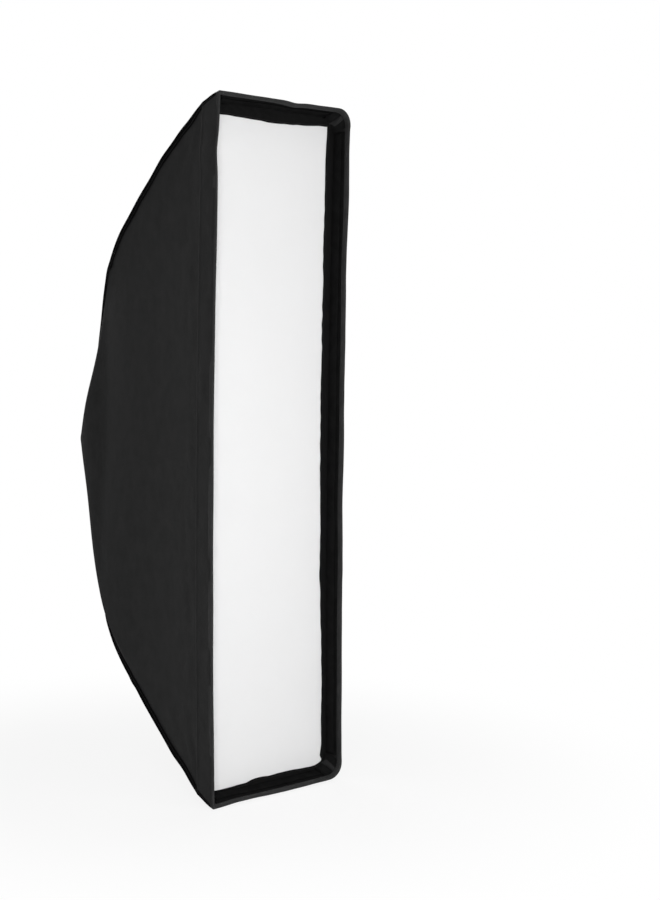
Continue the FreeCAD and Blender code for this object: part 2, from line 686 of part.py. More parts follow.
def front_lip():
    """The lip that stands forward of the rods: a flared band, and the rolled hem on its edge."""
    front = 2 * d.hem_radius + d.layer_gap
    rear = d.lip_depth - 2 * (d.fabric_wall + d.layer_gap)
    wires = []
    for inset in (0.0, d.lip_wall):
        for depth, radius in ((front, d.lip_corner_radius), (rear, d.seam_corner_radius)):
            half_x, half_z = lip_half_sizes(depth)
            wires.append(rounded_frame(half_x - inset, half_z - inset, radius - inset, depth - d.box_depth))
    outside = Part.makeLoft(wires[:2], True, True)
    inside = Part.makeLoft(wires[2:], True, True)
    node("front_lip", feature("front_lip", outside.cut(inside)))

    radius = d.hem_radius
    path = rounded_frame(d.face_width / 2 - radius, d.face_height / 2 - radius,
                         d.lip_corner_radius - radius, radius - d.box_depth)
    start = path.Edges[1].Vertexes[0].Point
    heading = path.Edges[1].tangentAt(path.Edges[1].FirstParameter)
    section = Part.Wire(Part.makeCircle(radius, start, heading))
    ordered = Part.Wire(path.Edges[1:] + path.Edges[:1])
    node("front_hem", feature("front_hem", ordered.makePipeShell([section], True, False)))


def loop_tapes():
    """Loop tape on the inside of the lip's four sides, leaning with the lip."""
    x_front, z_front = lip_half_sizes(d.loop_front)
    side_lean = math.degrees(math.atan2(d.lip_flare_side, d.lip_depth))
    end_lean = math.degrees(math.atan2(d.lip_flare_end, d.lip_depth))
    inset = d.lip_wall + d.layer_gap
    corner = d.lip_corner_radius + d.loop_thickness
    half_end = x_front - inset - corner
    half_side = z_front - inset - corner - d.lip_flare_end
    y = d.loop_front - d.box_depth

    top = box("loop_tape_top", 2 * half_end, "loop_width", "loop_thickness", FreeCAD.Placement(
        V(-half_end, y, z_front - inset - d.loop_thickness), FreeCAD.Rotation(V(1, 0, 0), -end_lean)))
    right = box("loop_tape_right", "loop_thickness", "loop_width", 2 * half_side, FreeCAD.Placement(
        V(x_front - inset - d.loop_thickness, y, -half_side), FreeCAD.Rotation(V(0, 0, 1), side_lean)))
    node("loop_tape_top", top)
    node("loop_tape_bottom", mirrored("loop_tape_bottom", top, V(0, 0, 1)))
    node("loop_tape_right", right)
    node("loop_tape_left", mirrored("loop_tape_left", right, V(1, 0, 0)))


def rear_collar():
    """Elastic fabric band that grips the speedring's rim."""
    start = V(0, -d.collar_rear, 0)
    band = cylinder("collar_band", "ring_radius + layer_gap + collar_wall", "collar_front - collar_rear",
                    start, V(0, -1, 0))
    inside = cylinder("collar_inside", "ring_radius + layer_gap", "collar_front - collar_rear + 2",
                      start + V(0, 1, 0), V(0, -1, 0))
    node("rear_collar", cut("rear_collar", band, inside))


# ---- front diffuser ----------------------------------------------------------------------------

def front_diffuser():
    """White cloth behind a flat black border, with hook tape standing up from the border along the lip."""
    x_hem = d.face_width / 2 - 2 * d.hem_radius
    inset = d.lip_wall + 2 * d.layer_gap + d.loop_thickness
    x_lip, z_lip = lip_half_sizes(d.diffuser_recess)
    half_x = min(x_hem, x_lip - inset) - d.layer_gap
    half_z = z_lip - inset - d.layer_gap
    face, wall = d.diffuser_recess, d.hook_wall
    outer_corner, inner_corner = d.hook_corner_radius, d.hook_corner_radius - wall
    frame = frame_prism(half_x, half_z, outer_corner, face - wall, face)
    window = frame_prism(half_x - d.hook_border, half_z - d.hook_border, inner_corner, face - wall - 1,
                         face + 1)
    node("diffuser_border", feature("diffuser_border", frame.cut(window)))
    cloth = frame_prism(half_x - d.diffuser_lap, half_z - d.diffuser_lap, inner_corner, face,
                        face + d.diffuser_wall)
    node("diffuser_panel", feature("diffuser_panel", cloth))

    # four straight strips of hook tape, each ending where the border's corner starts to turn
    front = d.diffuser_front - d.box_depth
    rise = face - wall - d.diffuser_front
    end, side = half_x - outer_corner, half_z - outer_corner
    right = Part.makeBox(wall, rise, 2 * side, V(half_x - wall, front, -side))
    top = Part.makeBox(2 * end, rise, wall, V(-end, front, half_z - wall))
    strips = [right, right.mirror(V(), V(1, 0, 0)), top, top.mirror(V(), V(0, 0, 1))]
    node("diffuser_hook_tape", feature("diffuser_hook_tape", Part.makeCompound(strips)))


# ---- inner baffle ------------------------------------------------------------------------------

def inner_baffle():
    """White inner baffle, bound at its edge and hung from the rods by four elastic straps."""
    face = d.baffle_recess - d.box_depth
    strap_y = face + d.baffle_wall + d.layer_gap / 3
    hang, heading = seam.at_depth(strap_y + d.strap_wall / 2, rod_shift)
    half_x = hang.x - d.baffle_gap_side
    half_z = hang.z - d.baffle_gap_end
    corner = V(half_x, 0, half_z)
    pull = V(hang.x, 0, hang.z) - corner
    length = pull.Length
    pull = pull / length
    snap_from_corner = d.strap_lap / 2
    snap = corner - pull * snap_from_corner

    def drilled(shape, y_from, y_to):
        for x in (1, -1):
            for z in (1, -1):
                spot = flip(V(snap.x, y_from, snap.z), x, z)
                hole = Part.makeCylinder(d.snap_stem_radius + d.slip, y_to - y_from, spot, V(0, 1, 0))
                shape = shape.cut(hole)
        return shape

    radius = d.binding_width
    cloth = frame_prism(half_x, half_z, radius, d.baffle_recess, d.baffle_recess + d.baffle_wall)
    node("inner_baffle", feature("inner_baffle", drilled(cloth, face - 1, face + 2)))
    back = d.baffle_recess - d.layer_gap / 3
    border = frame_prism(half_x + 1, half_z + 1, radius, back - d.binding_wall, back)
    window = frame_prism(half_x - d.binding_width, half_z - d.binding_width, radius / 2,
                         back - d.binding_wall - 1, back + 1)
    bound_edge = drilled(border.cut(window), face - d.binding_wall - 1, face + 1)
    node("baffle_binding", feature("baffle_binding", bound_edge))

    across = pull.cross(V(0, 1, 0))
    frame = FreeCAD.Rotation(pull, V(0, 1, 0), across, "XYZ")
    start = corner - pull * d.strap_lap - across * (d.strap_width / 2) + V(0, strap_y, 0)
    band = Part.makeBox(d.strap_lap + length, d.strap_wall, d.strap_width)
    band.Placement = FreeCAD.Placement(start, frame)
    half = heading * (d.strap_width / 2)
    sleeve = Part.makeCylinder(d.rod_radius + d.slip + d.strap_wall, d.strap_width, hang - half, heading)
    gap = Part.makeCylinder(d.rod_radius + d.slip, d.strap_width * 3, hang - half * 3, heading)
    stem_hole = Part.makeCylinder(d.snap_stem_radius + d.slip, 10, V(snap.x, strap_y - 5, snap.z), V(0, 1, 0))
    strap = band.fuse(sleeve).cut(gap).cut(stem_hole)
    strap = max(strap.Solids, key=lambda solid: solid.Volume)
    at_four_corners("baffle_strap", feature("baffle_strap", strap))

    front_cap = face - d.layer_gap / 3 - d.binding_wall - d.layer_gap / 3
    rear_cap = strap_y + d.strap_wall + d.layer_gap / 3
    snaps = []
    for x in (1, -1):
        for z in (1, -1):
            spot = flip(snap, x, z)
            front = Part.makeCylinder(d.snap_radius, d.snap_height, spot + V(0, front_cap, 0), V(0, -1, 0))
            rear = Part.makeCylinder(d.snap_radius, d.snap_height, spot + V(0, rear_cap, 0), V(0, 1, 0))
            stem = Part.makeCylinder(d.snap_stem_radius, rear_cap - front_cap, spot + V(0, front_cap, 0),
                                     V(0, 1, 0))
            snaps.append(front.fuse([stem, rear]).removeSplitter())
    node("baffle_snaps", feature("baffle_snaps", Part.makeCompound(snaps)))


# ---- build, check and write --------------------------------------------------------------------

def build():
    bayonet_insert()
    speedring_body()
    rod_sockets()
    socket_screws()
    lock_screws()
    rods()
    shell_layers()
    corner_seams()
    front_lip()
    loop_tapes()
    rear_collar()
    front_diffuser()
    inner_baffle()
    doc.recompute()


def check():
    """Stops if any object failed, or any piece is empty or not a valid solid."""
    failed = [o.Name for o in doc.Objects if {"Invalid", "Error"} & set(o.State)]
    if failed:
        raise RuntimeError(f"objects failed to build: {failed}")
    for name, obj in nodes.items():
        shape = obj.Shape
        if shape.isNull() or not shape.isValid() or not shape.Solids:
            raise RuntimeError(f"{name} has no valid solid")
        if min(solid.Volume for solid in shape.Solids) <= 0:
            raise RuntimeError(f"{name} is inside out")


def write():
    os.makedirs("parts", exist_ok=True)
    for name, obj in nodes.items():
        obj.Shape.exportStep(os.path.join("parts", f"{name}.step"))


build()
check()
write()
print(f"{len(nodes)} pieces, bend ends at {math.degrees(seam.shoulder):.1f} degrees, "
      f"tips at {math.degrees(seam.end):.1f} degrees")
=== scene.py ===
"""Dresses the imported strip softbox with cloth, tapes, stitching and finishes. Metres, in the CAD's frame."""
import math

import bpy
import numpy as np
from mathutils import Matrix, Vector


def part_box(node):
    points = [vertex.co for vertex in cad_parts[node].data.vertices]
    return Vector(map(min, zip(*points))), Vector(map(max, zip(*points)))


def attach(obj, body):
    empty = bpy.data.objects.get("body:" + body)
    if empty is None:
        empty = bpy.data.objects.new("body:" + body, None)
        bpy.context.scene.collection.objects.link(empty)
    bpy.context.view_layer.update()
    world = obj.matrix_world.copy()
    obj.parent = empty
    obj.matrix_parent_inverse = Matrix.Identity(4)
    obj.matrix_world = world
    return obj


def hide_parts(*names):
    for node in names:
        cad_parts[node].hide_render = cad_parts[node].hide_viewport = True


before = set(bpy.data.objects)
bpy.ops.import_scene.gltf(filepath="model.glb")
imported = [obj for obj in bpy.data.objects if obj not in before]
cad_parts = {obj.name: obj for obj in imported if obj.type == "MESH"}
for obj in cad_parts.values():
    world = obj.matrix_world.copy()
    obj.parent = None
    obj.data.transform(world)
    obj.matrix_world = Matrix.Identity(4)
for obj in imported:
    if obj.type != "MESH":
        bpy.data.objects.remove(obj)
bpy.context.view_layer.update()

# ---- sizes, the same as in the CAD source ------------------------------------------------------

HEM_LOW, HEM_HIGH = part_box("front_hem")
HALF_W, HALF_H = HEM_HIGH.x, HEM_HIGH.z
FRONT = HEM_LOW.y
LIP_DEPTH = 0.050
FLARE_SIDE, FLARE_END = 0.004, 0.012
ROOT = np.array([0.05954, -0.0150, 0.05954])
TIP = np.array([HALF_W - FLARE_SIDE, FRONT + LIP_DEPTH, HALF_H - FLARE_END])
LEG, LEG_ANGLE = 0.254, math.radians(21.2)
BEND_RADIUS, BOW_RADIUS = 0.248, 4.6
CLOTH, LINING, GAP = 0.0010, 0.0005, 0.0003
DIFFUSER_DEPTH = 0.034
LOOP_FRONT, LOOP_WIDTH = 0.0090, 0.0280
ROD_SHIFT = np.array([-0.010, -0.0075, -0.010])     # from the corner line to the rod's axis

# ---- sizes that only the cloth here has --------------------------------------------------------

MOUTH_EASE = 0.0030     # how far the sewn opening springs out past its cut width on each long side
EASE_LOST = 0.7         # share of that ease that is gone at the lip's rear edge
SAG = 0.0026            # how far the lower edge hangs down in the middle
BOW_REACH = 0.13        # how far back from the opening the shell follows the bow of its edges
FAR_RADIUS, NEAR_RADIUS = 0.0280, 0.0035    # the opening's corners: round on the right, sharp on the left
SEAM_ALLOWANCE = 0.006  # what a cut has past each sewn edge
LIP_CLOTH, PANEL_CLOTH, LINING_CLOTH = 0.0010, 0.0009, 0.0004    # thicknesses of the soft pieces
WHITE_CLOTH, BORDER_CLOTH, ELASTIC_CLOTH = 0.0007, 0.0009, 0.0007
DIFFUSER_INSET, WHITE_INSET = 0.0038, 0.0068    # from the lip's outer face to the diffuser's edge and cloth
WHITE_RADIUS = 0.0265   # right corners of the diffuser's white cloth
LOOP_THICK = 0.0022     # loop tape, thinner than the CAD's, which has its backing too
LOOP_INSET = 0.0012 + GAP       # from the lip's outer face to the loop tape's back
LIP_STEPS = 9           # points of a corner binding along the lip

BACKWARD = np.array([0.0, 1.0, 0.0])
TOWARDS_AXIS = np.array([-1, 0, -1])        # times a point, the way from it to the lamp's axis
# the walls of shell and lip: name, whether it stands upright, and its side
WALLS = (("top", False, 1), ("bottom", False, -1), ("right", True, 1), ("left", True, -1))
CORNERS = (("upper_right", 1, 1), ("upper_left", -1, 1), ("lower_right", 1, -1), ("lower_left", -1, -1))


# ---- seam line -------------------------------------------------------------------------------

def seam_setup():
    """Arc centres and end angles of the corner line, worked out as the CAD does."""
    plan = np.array([TIP[0] - ROOT[0], TIP[2] - ROOT[2]])
    run = np.linalg.norm(plan)
    drop = ROOT[1] - TIP[1]
    knee = LEG * np.array([math.cos(LEG_ANGLE), math.sin(LEG_ANGLE)])
    bend = knee + BEND_RADIUS * np.array([-math.sin(LEG_ANGLE), math.cos(LEG_ANGLE)])
    to_tip = np.array([run, drop]) - bend
    reach = np.linalg.norm(to_tip)
    gap = BOW_RADIUS - BEND_RADIUS
    along = (gap ** 2 - BOW_RADIUS ** 2 + reach ** 2) / (2 * reach)
    across = math.sqrt(gap ** 2 - along ** 2)
    aim = to_tip / reach
    bow = bend + aim * along + np.array([-aim[1], aim[0]]) * across
    shoulder = math.atan2(bend[0] - bow[0], bow[1] - bend[1])
    end = math.atan2(run - bow[0], bow[1] - drop)
    return plan / run, bend, bow, shoulder, end


PLAN, BEND, BOW, SHOULDER, END = seam_setup()
BEND_LENGTH = BEND_RADIUS * (SHOULDER - LEG_ANGLE)
SEAM_LENGTH = LEG + BEND_LENGTH + BOW_RADIUS * (END - SHOULDER)


def shade_strip(s):
    """Points and directions of the upper right corner line at lengths s from the ring."""
    s = np.asarray(s, float)

    def by_stretch(leg, bend, bow):
        """One of three values, by the stretch of the line that each length is on."""
        return np.where(s < LEG, leg, np.where(s < LEG + BEND_LENGTH, bend, bow))

    in_bend = LEG_ANGLE + (s - LEG) / BEND_RADIUS
    in_bow = SHOULDER + (s - LEG - BEND_LENGTH) / BOW_RADIUS
    angle = by_stretch(LEG_ANGLE, in_bend, in_bow)
    sine, cosine = np.sin(angle), np.cos(angle)
    run = by_stretch(s * math.cos(LEG_ANGLE), BEND[0] + BEND_RADIUS * sine, BOW[0] + BOW_RADIUS * sine)
    drop = by_stretch(s * math.sin(LEG_ANGLE), BEND[1] - BEND_RADIUS * cosine, BOW[1] - BOW_RADIUS * cosine)
    point = np.stack([ROOT[0] + PLAN[0] * run, ROOT[1] - drop, ROOT[2] + PLAN[1] * run], -1)
    return point, np.stack([PLAN[0] * cosine, -sine, PLAN[1] * cosine], -1)


def seam_rows(leg, bend, bow):
    """Lengths along the seam for the rows of a panel."""
    return np.concatenate([
        np.linspace(0, LEG, leg, endpoint=False),
        np.linspace(LEG, LEG + BEND_LENGTH, bend, endpoint=False),
        np.linspace(LEG + BEND_LENGTH, SEAM_LENGTH, bow)])


# ---- small maths -----------------------------------------------------------------------------

def smooth(x, low=0.0, high=1.0):
    """A soft step: 0 up to low, 1 from high on."""
    t = np.clip((x - low) / (high - low), 0, 1)
    return t * t * (3 - 2 * t)


def hump(x, middle, spread):
    """A soft hump, 1 high at its middle."""
    return np.exp(-((x - middle) / spread) ** 2)


def arch(x, half):
    """A parabola, 1 high in the middle and 0 at half to either side."""
    return np.clip(1 - (x / half) ** 2, 0, 1)


def crowded(count, turn):
    """Places from -1 to 1 that stand closer together towards the ends."""
    return np.sin(np.linspace(-1, 1, count) * turn) / math.sin(turn)


def unit(v):
    """Directions made one long."""
    return v / np.maximum(np.linalg.norm(v, axis=-1, keepdims=True), 1e-12)


def closed(points):
    """A loop of points that ends where it began."""
    return np.concatenate([points, points[:1]])


def lengths(path):
    """How far along a path each of its points is."""
    return np.concatenate([[0], np.cumsum(np.linalg.norm(np.diff(path, axis=0), axis=-1))])


def ripples(x, y, size, seed, count=14):
    """Soft random waves over a surface, about -1 to 1, with humps about size metres across."""
    rng = np.random.default_rng(seed)
    total = np.zeros(np.broadcast(x, y).shape)
    for _ in range(count):
        turn, phase = rng.uniform(0, 2 * math.pi, 2)
        pitch = math.pi / size * rng.uniform(0.6, 1.5)
        total += np.sin(pitch * (x * math.cos(turn) + y * math.sin(turn)) + phase)
    return total / math.sqrt(count)


def grid_normals(grid, around=False):
    """Normals of a grid of points, from the rows' and columns' directions."""
    down = np.gradient(grid, axis=0)
    if around:
        wide = np.concatenate([grid[:, -1:], grid, grid[:, :1]], axis=1)
        along = np.gradient(wide, axis=1)[:, 1:-1]
    else:
        along = np.gradient(grid, axis=1)
    return unit(np.cross(down, along))


# ---- mesh makers -----------------------------------------------------------------------------

def add_object(name, points, faces, uvs=None, sharp=35.0):
    """A smooth-shaded mesh object, with edges over sharp degrees kept sharp."""
    mesh = bpy.data.meshes.new(name)
    mesh.from_pydata([tuple(p) for p in points], [], faces)
    if uvs is not None:
        layer = mesh.uv_layers.new(name="cloth")
        corner = np.empty(len(mesh.loops), dtype=np.int32)
        mesh.loops.foreach_get("vertex_index", corner)
        layer.data.foreach_set("uv", np.asarray(uvs, float)[corner].ravel())
    mesh.validate()
    mesh.shade_smooth()
    if sharp:
        mesh.set_sharp_from_angle(angle=math.radians(sharp))
    obj = bpy.data.objects.new(name, mesh)
    bpy.context.scene.collection.objects.link(obj)
    return obj


def outward(points, faces):
    """Faces turned so that the closed mesh's normals point out."""
    p = np.asarray(points, float)
    p = p - p.mean(axis=0)
    total = 0.0
    for f in faces:
        for i in range(1, len(f) - 1):
            total += np.dot(p[f[0]], np.cross(p[f[i]], p[f[i + 1]]))
    return faces if total > 0 else [tuple(reversed(f)) for f in faces]


def cloth(name, grid, thickness, towards, around=False):
    """A closed sheet: the grid is its outer face, and its thickness is laid on the side that the
    direction or directions towards point to. Its UV map is in metres, along the cloth."""
    rows, cols = grid.shape[:2]
    normals = grid_normals(grid, around)
    side = np.sign((normals * towards).sum(axis=-1).mean())
    points = np.concatenate([grid.reshape(-1, 3), (grid + normals * (thickness * side)).reshape(-1, 3)])
    step_u = np.linalg.norm(np.diff(grid, axis=1), axis=-1)
    u = np.concatenate([np.zeros((rows, 1)), np.cumsum(step_u, axis=1)], axis=1)
    u -= u[:, -1:] / 2
    step_v = np.linalg.norm(np.diff(grid, axis=0), axis=-1).mean(axis=1)
    v = np.concatenate([[0], np.cumsum(step_v)])[:, None] * np.ones((1, cols))
    uvs = np.tile(np.stack([u, v], -1).reshape(-1, 2), (2, 1))
    size = rows * cols
    last = cols if around else cols - 1
    faces = []
    for i in range(rows - 1):
        for j in range(last):
            k = (j + 1) % cols
            a, b, c, d = i * cols + j, i * cols + k, (i + 1) * cols + k, (i + 1) * cols + j
            faces.append((a, b, c, d))
            faces.append((size + a, size + d, size + c, size + b))
    end = (rows - 1) * cols
    rim = [((j + 1) % cols, j) for j in range(last)]
    rim += [(end + j, end + (j + 1) % cols) for j in range(last)]
    if not around:
        for i in range(rows - 1):
            rim += [(i * cols, (i + 1) * cols), ((i + 2) * cols - 1, (i + 1) * cols - 1)]
    faces += [(a, b, b + size, a + size) for a, b in rim]
    return add_object(name, points, outward(points, faces), uvs)


def swept(name, path, sides, ups, profile, around=False):
    """A closed profile of (side, up) offsets carried along a path, with closed ends. The profile may
    change from point to point, and a direction that never changes may be given once."""
    count = len(path)
    profile = np.asarray(profile, float)
    profile = np.broadcast_to(profile, (count, *profile.shape[-2:]))
    ring = profile.shape[1]
    sides, ups = np.broadcast_to(sides, path.shape), np.broadcast_to(ups, path.shape)
    points = path[:, None] + sides[:, None] * profile[..., :1] + ups[:, None] * profile[..., 1:]
    v = lengths(closed(profile[0]))[:-1]
    uvs = np.stack(np.broadcast_arrays(lengths(path)[:, None], v[None]), -1).reshape(-1, 2)
    faces = []
    for i in range(count if around else count - 1):
        k = (i + 1) % count
        for j in range(ring):
            m = (j + 1) % ring
            faces.append((i * ring + j, i * ring + m, k * ring + m, k * ring + j))
    if not around:
        faces += [tuple(range(ring)), tuple((count - 1) * ring + j for j in reversed(range(ring)))]
    flat = points.reshape(-1, 3)
    return add_object(name, flat, outward(flat, faces), uvs, 40.0)


def rounded_profile(low, high, radius, steps=3):
    """A rounded rectangle from low to high, as (side, up) points."""
    points = []
    for right, top, start in ((True, True, 0), (False, True, 90), (False, False, 180), (True, False, 270)):
        x = high[0] - radius if right else low[0] + radius
        y = high[1] - radius if top else low[1] + radius
        for k in range(steps + 1):
            a = math.radians(start + 90 * k / steps)
            points.append((x + radius * math.cos(a), y + radius * math.sin(a)))
    return points


def frames_along(path, up):
    """Side and up directions for a path, up kept near the given direction."""
    ahead = unit(np.gradient(path, axis=0))
    side = unit(np.cross(ahead, up))
    return side, unit(np.cross(side, ahead))


def join(name, objects):
    """Several meshes as one piece."""
    with bpy.context.temp_override(active_object=objects[0], selected_editable_objects=objects):
        bpy.ops.object.join()
    objects[0].name = name
    objects[0].data.name = name
    return objects[0]


def dress(obj, body, material, nodes=()):
    """Puts a piece on its body, with its finish, in place of the CAD nodes it stands for."""
    obj.data.materials.clear()
    obj.data.materials.append(material)
    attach(obj, body)
    if nodes:
        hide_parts(*nodes)
    return obj


# ---- materials -------------------------------------------------------------------------------

class Nodes:
    """A node tree, with short calls for the nodes used here."""

    def __init__(self, tree):
        self.tree = tree

    def put(self, value, socket):
        """Gives an input its value, or links it to another node's output."""
        if isinstance(value, bpy.types.NodeSocket):
            self.tree.links.new(value, socket)
        elif value is not None:
            socket.default_value = value

    def new(self, kind, **values):
        """A node with its properties and inputs by name, with _ for a space."""
        node = self.tree.nodes.new("ShaderNode" + kind)
        for key, value in values.items():
            if key in node.bl_rna.properties:
                setattr(node, key, value)
            else:
                self.put(value, node.inputs[key.replace("_", " ")])
        return node

    def placed(self, kind, places, parts, **values):
        """A node whose inputs are given by their places."""
        node = self.new(kind, **values)
        for place, part in zip(places, parts):
            self.put(part, node.inputs[place])
        return node

    def math(self, operation, a, b=None, clamp=False):
        """A calculation with one or two values."""
        return self.placed("Math", (0, 1), (a, b), operation=operation, use_clamp=clamp).outputs[0]

    def coordinates(self, kind):
        """Places on the object, or along its UV map."""
        return self.new("TexCoord").outputs[kind]

    def split(self, where):
        """The three parts of a place."""
        return self.new("SeparateXYZ", Vector=where).outputs

    def noise(self, where, scale, detail=3.0, roughness=0.55):
        """Soft noise, 0 to 1, with scale humps to the metre."""
        node = self.new("TexNoise", Vector=where, Scale=scale, Detail=detail, Roughness=roughness)
        return node.outputs["Fac"]

    def spread(self, value, low, high, to_low, to_high):
        """A value with its range low to high carried over to another range."""
        node = self.new("MapRange", Value=value, From_Min=low, From_Max=high, To_Min=to_low, To_Max=to_high)
        return node.outputs["Result"]

    def tint(self, value, dark, light):
        """Colour between two shades by a 0 to 1 value."""
        return self.placed("Mix", (0, 6, 7), (value, dark, light), data_type="RGBA").outputs[2]

    def wave(self, part, pitch):
        """Even waves along one coordinate, -1 to 1."""
        return self.math("SINE", self.math("MULTIPLY", part, 2 * math.pi / pitch))

    def weave(self, where, pitch):
        """Height of a plain weave, -1 to 1."""
        across, along, _ = self.split(where)
        return self.math("MULTIPLY", self.wave(across, pitch), self.wave(along, pitch))

    def bump(self, height, distance, strength=1.0, below=None):
        """Normals of a relief distance high, on top of the relief below."""
        node = self.new("Bump", Height=height, Distance=distance, Strength=strength, Normal=below)
        return node.outputs["Normal"]

    def rounded(self, radius):
        """Normals with the edges rounded off."""
        return self.new("Bevel", samples=6, Radius=radius).outputs[0]

    def seen_directly(self):
        """1 for what the camera, mirrors and glass see, 0 for what lights the object."""
        path = self.new("LightPath").outputs
        seen = self.math("MAXIMUM", path["Is Camera Ray"], path["Is Glossy Ray"])
        return self.math("MAXIMUM", seen, path["Is Transmission Ray"])

    def surface(self, output, share, first, second):
        """The tree's result: two shaders mixed by a share."""
        mix = self.placed("MixShader", (0, 1, 2), (share, first.outputs[0], second.outputs[0]))
        self.put(mix.outputs[0], self.tree.nodes[output].inputs["Surface"])


class Finish(Nodes):
    """A material's nodes, which end in one shader."""

    def __init__(self, name, colour, roughness, specular=0.5, metallic=0.0, sheen=0.0, sheen_roughness=0.5):
        self.material = bpy.data.materials.new(name)
        self.material.use_nodes = True
        self.material.diffuse_color = shade(colour)
        super().__init__(self.material.node_tree)
        self.shader = self.tree.nodes["Principled BSDF"]
        values = {"Base Color": shade(colour), "Roughness": roughness, "Specular IOR Level": specular,
                  "Metallic": metallic, "Sheen Weight": sheen, "Sheen Roughness": sheen_roughness}
        for key, value in values.items():
            self.put(value, self.shader.inputs[key])

    def finish(self, colour, roughness, normal):
        """The material, with these three linked to its shader."""
        for value, socket in ((colour, "Base Color"), (roughness, "Roughness"), (normal, "Normal")):
            self.put(value, self.shader.inputs[socket])
        return self.material


def shade(colour, factor=1.0):
    """A colour made darker or lighter, with its alpha."""
    return (*(c * factor for c in colour), 1)


def woven(name, colour, roughness, specular, sheen, pitch, coarse=0.035, space="UV"):
    """Cloth: plain weave, uneven dye and small crumples."""
    n = Finish(name, colour, roughness, specular, sheen=sheen, sheen_roughness=0.45)
    where = n.coordinates(space)
    thread = n.weave(where, pitch)
    cloudy = n.noise(where, 1 / coarse, 4.0)
    fibre = n.noise(where, 900.0, 2.0)
    value = n.math("ADD", n.spread(cloudy, 0.3, 0.7, 0.0, 0.75), n.spread(thread, -1, 1, 0.0, 0.25))
    rough = n.spread(n.math("ADD", cloudy, fibre), 0.7, 1.3, roughness - 0.07, roughness + 0.07)
    folds = n.bump(n.noise(where, 1 / (coarse * 0.6), 3.0), 0.0006)
    return n.finish(n.tint(value, shade(colour, 0.75), shade(colour, 1.25)), rough,
                    n.bump(thread, 0.00012, 0.6, folds))


def brushed_tape(name, colour, pile):
    """Loop or hook tape: a matte pile of fine threads."""
    n = Finish(name, colour, 0.95, 0.01)
    where = n.coordinates("Object")
    tufts = n.noise(where, 1 / pile, 4.0, 0.7)
    patch = n.noise(where, 60.0, 2.0)
    base = n.tint(n.math("MULTIPLY", tufts, patch), shade(colour, 0.5), shade(colour, 2.2))
    return n.finish(base, n.spread(tufts, 0.3, 0.7, 0.88, 1.0), n.bump(tufts, pile * 0.8))


def ribbed(name, colour, pitch, turn=0):
    """Elastic or webbing: ribs across the band over fine threads."""
    rough = 0.8
    n = Finish(name, colour, rough, 0.2, sheen=0.1)
    where = n.coordinates("UV")
    rib = n.wave(n.split(where)[turn], pitch)
    thread = n.weave(where, pitch / 2)
    fuzz = n.noise(where, 700.0, 3.0)
    value = n.math("MULTIPLY", n.spread(rib, -1, 1, 0.3, 1.0), n.spread(fuzz, 0.3, 0.7, 0.6, 1.0))
    base = n.tint(value, shade(colour, 0.55), shade(colour, 1.35))
    normal = n.bump(thread, 0.00008, 0.6, n.bump(rib, 0.0002))
    return n.finish(base, n.spread(fuzz, 0.3, 0.7, rough - 0.1, rough + 0.1), normal)


def hard(name, colour, roughness, specular=0.5, metallic=0.0, *, grain, depth, worn, edge=0.0006,
         brushed=None):
    """Metal or plastic: fine grain, uneven gloss, and edges that are rounded and a little worn."""
    n = Finish(name, colour, roughness, specular, metallic)
    where = n.coordinates("Object")
    grainy = n.noise(where, grain, 4.0)
    cloudy = n.noise(where, 45.0, 3.0)
    rounded = n.rounded(edge)
    plain = n.new("NewGeometry").outputs["Normal"]
    facing = n.placed("VectorMath", (0, 1), (rounded, plain), operation="DOT_PRODUCT").outputs["Value"]
    turned = n.spread(facing, 0.985, 0.80, 0.0, 1.0)
    rub = n.math("MULTIPLY", turned, n.spread(grainy, 0.42, 0.6, 0.15, 1.0), clamp=True)
    base = n.tint(cloudy, shade(colour, 0.88), shade(colour, 1.12))
    rough = n.spread(cloudy, 0.3, 0.7, roughness - 0.06, roughness + 0.08)
    height = grainy
    if brushed is not None:
        height = n.noise(n.new("Mapping", Scale=brushed, Vector=where).outputs["Vector"], 1.0, 3.0)
    return n.finish(n.tint(rub, base, shade(worn)), rough, n.bump(height, depth, 0.7, rounded))


def turned_metal(name, colour, roughness):
    """Machined face: fine rings round the lamp's axis."""
    n = Finish(name, colour, roughness, 0.5, 1.0)
    where = n.coordinates("Object")
    x, _, z = n.split(where)
    radius = n.math("SQRT", n.math("ADD", n.math("POWER", x, 2.0), n.math("POWER", z, 2.0)))
    rings = n.new("TexNoise", noise_dimensions="1D", Scale=5200.0, Detail=2.0, W=radius).outputs["Fac"]
    cloudy = n.noise(where, 60.0, 3.0)
    base = n.tint(cloudy, shade(colour, 0.9), shade(colour, 1.06))
    normal = n.bump(rings, 0.00003, 0.8, n.rounded(0.0005))
    return n.finish(base, n.spread(rings, 0.3, 0.7, roughness - 0.08, roughness + 0.1), normal)


def silver_coat(name, colour):
    """Pebbled reflective coating."""
    n = Finish(name, colour, 0.36, 0.6, 0.75)
    where = n.coordinates("UV")
    cells = n.new("TexVoronoi", feature="SMOOTH_F1", Scale=330.0, Smoothness=0.6, Vector=where)
    pebbles = cells.outputs["Distance"]
    cloudy = n.noise(where, 22.0, 3.0)
    base = n.tint(cloudy, shade(colour, 0.9), shade(colour, 1.08))
    normal = n.bump(pebbles, 0.0005, 0.7, n.bump(cloudy, 0.002, 0.6))
    return n.finish(base, n.spread(pebbles, 0.0, 0.6, 0.28, 0.46), normal)


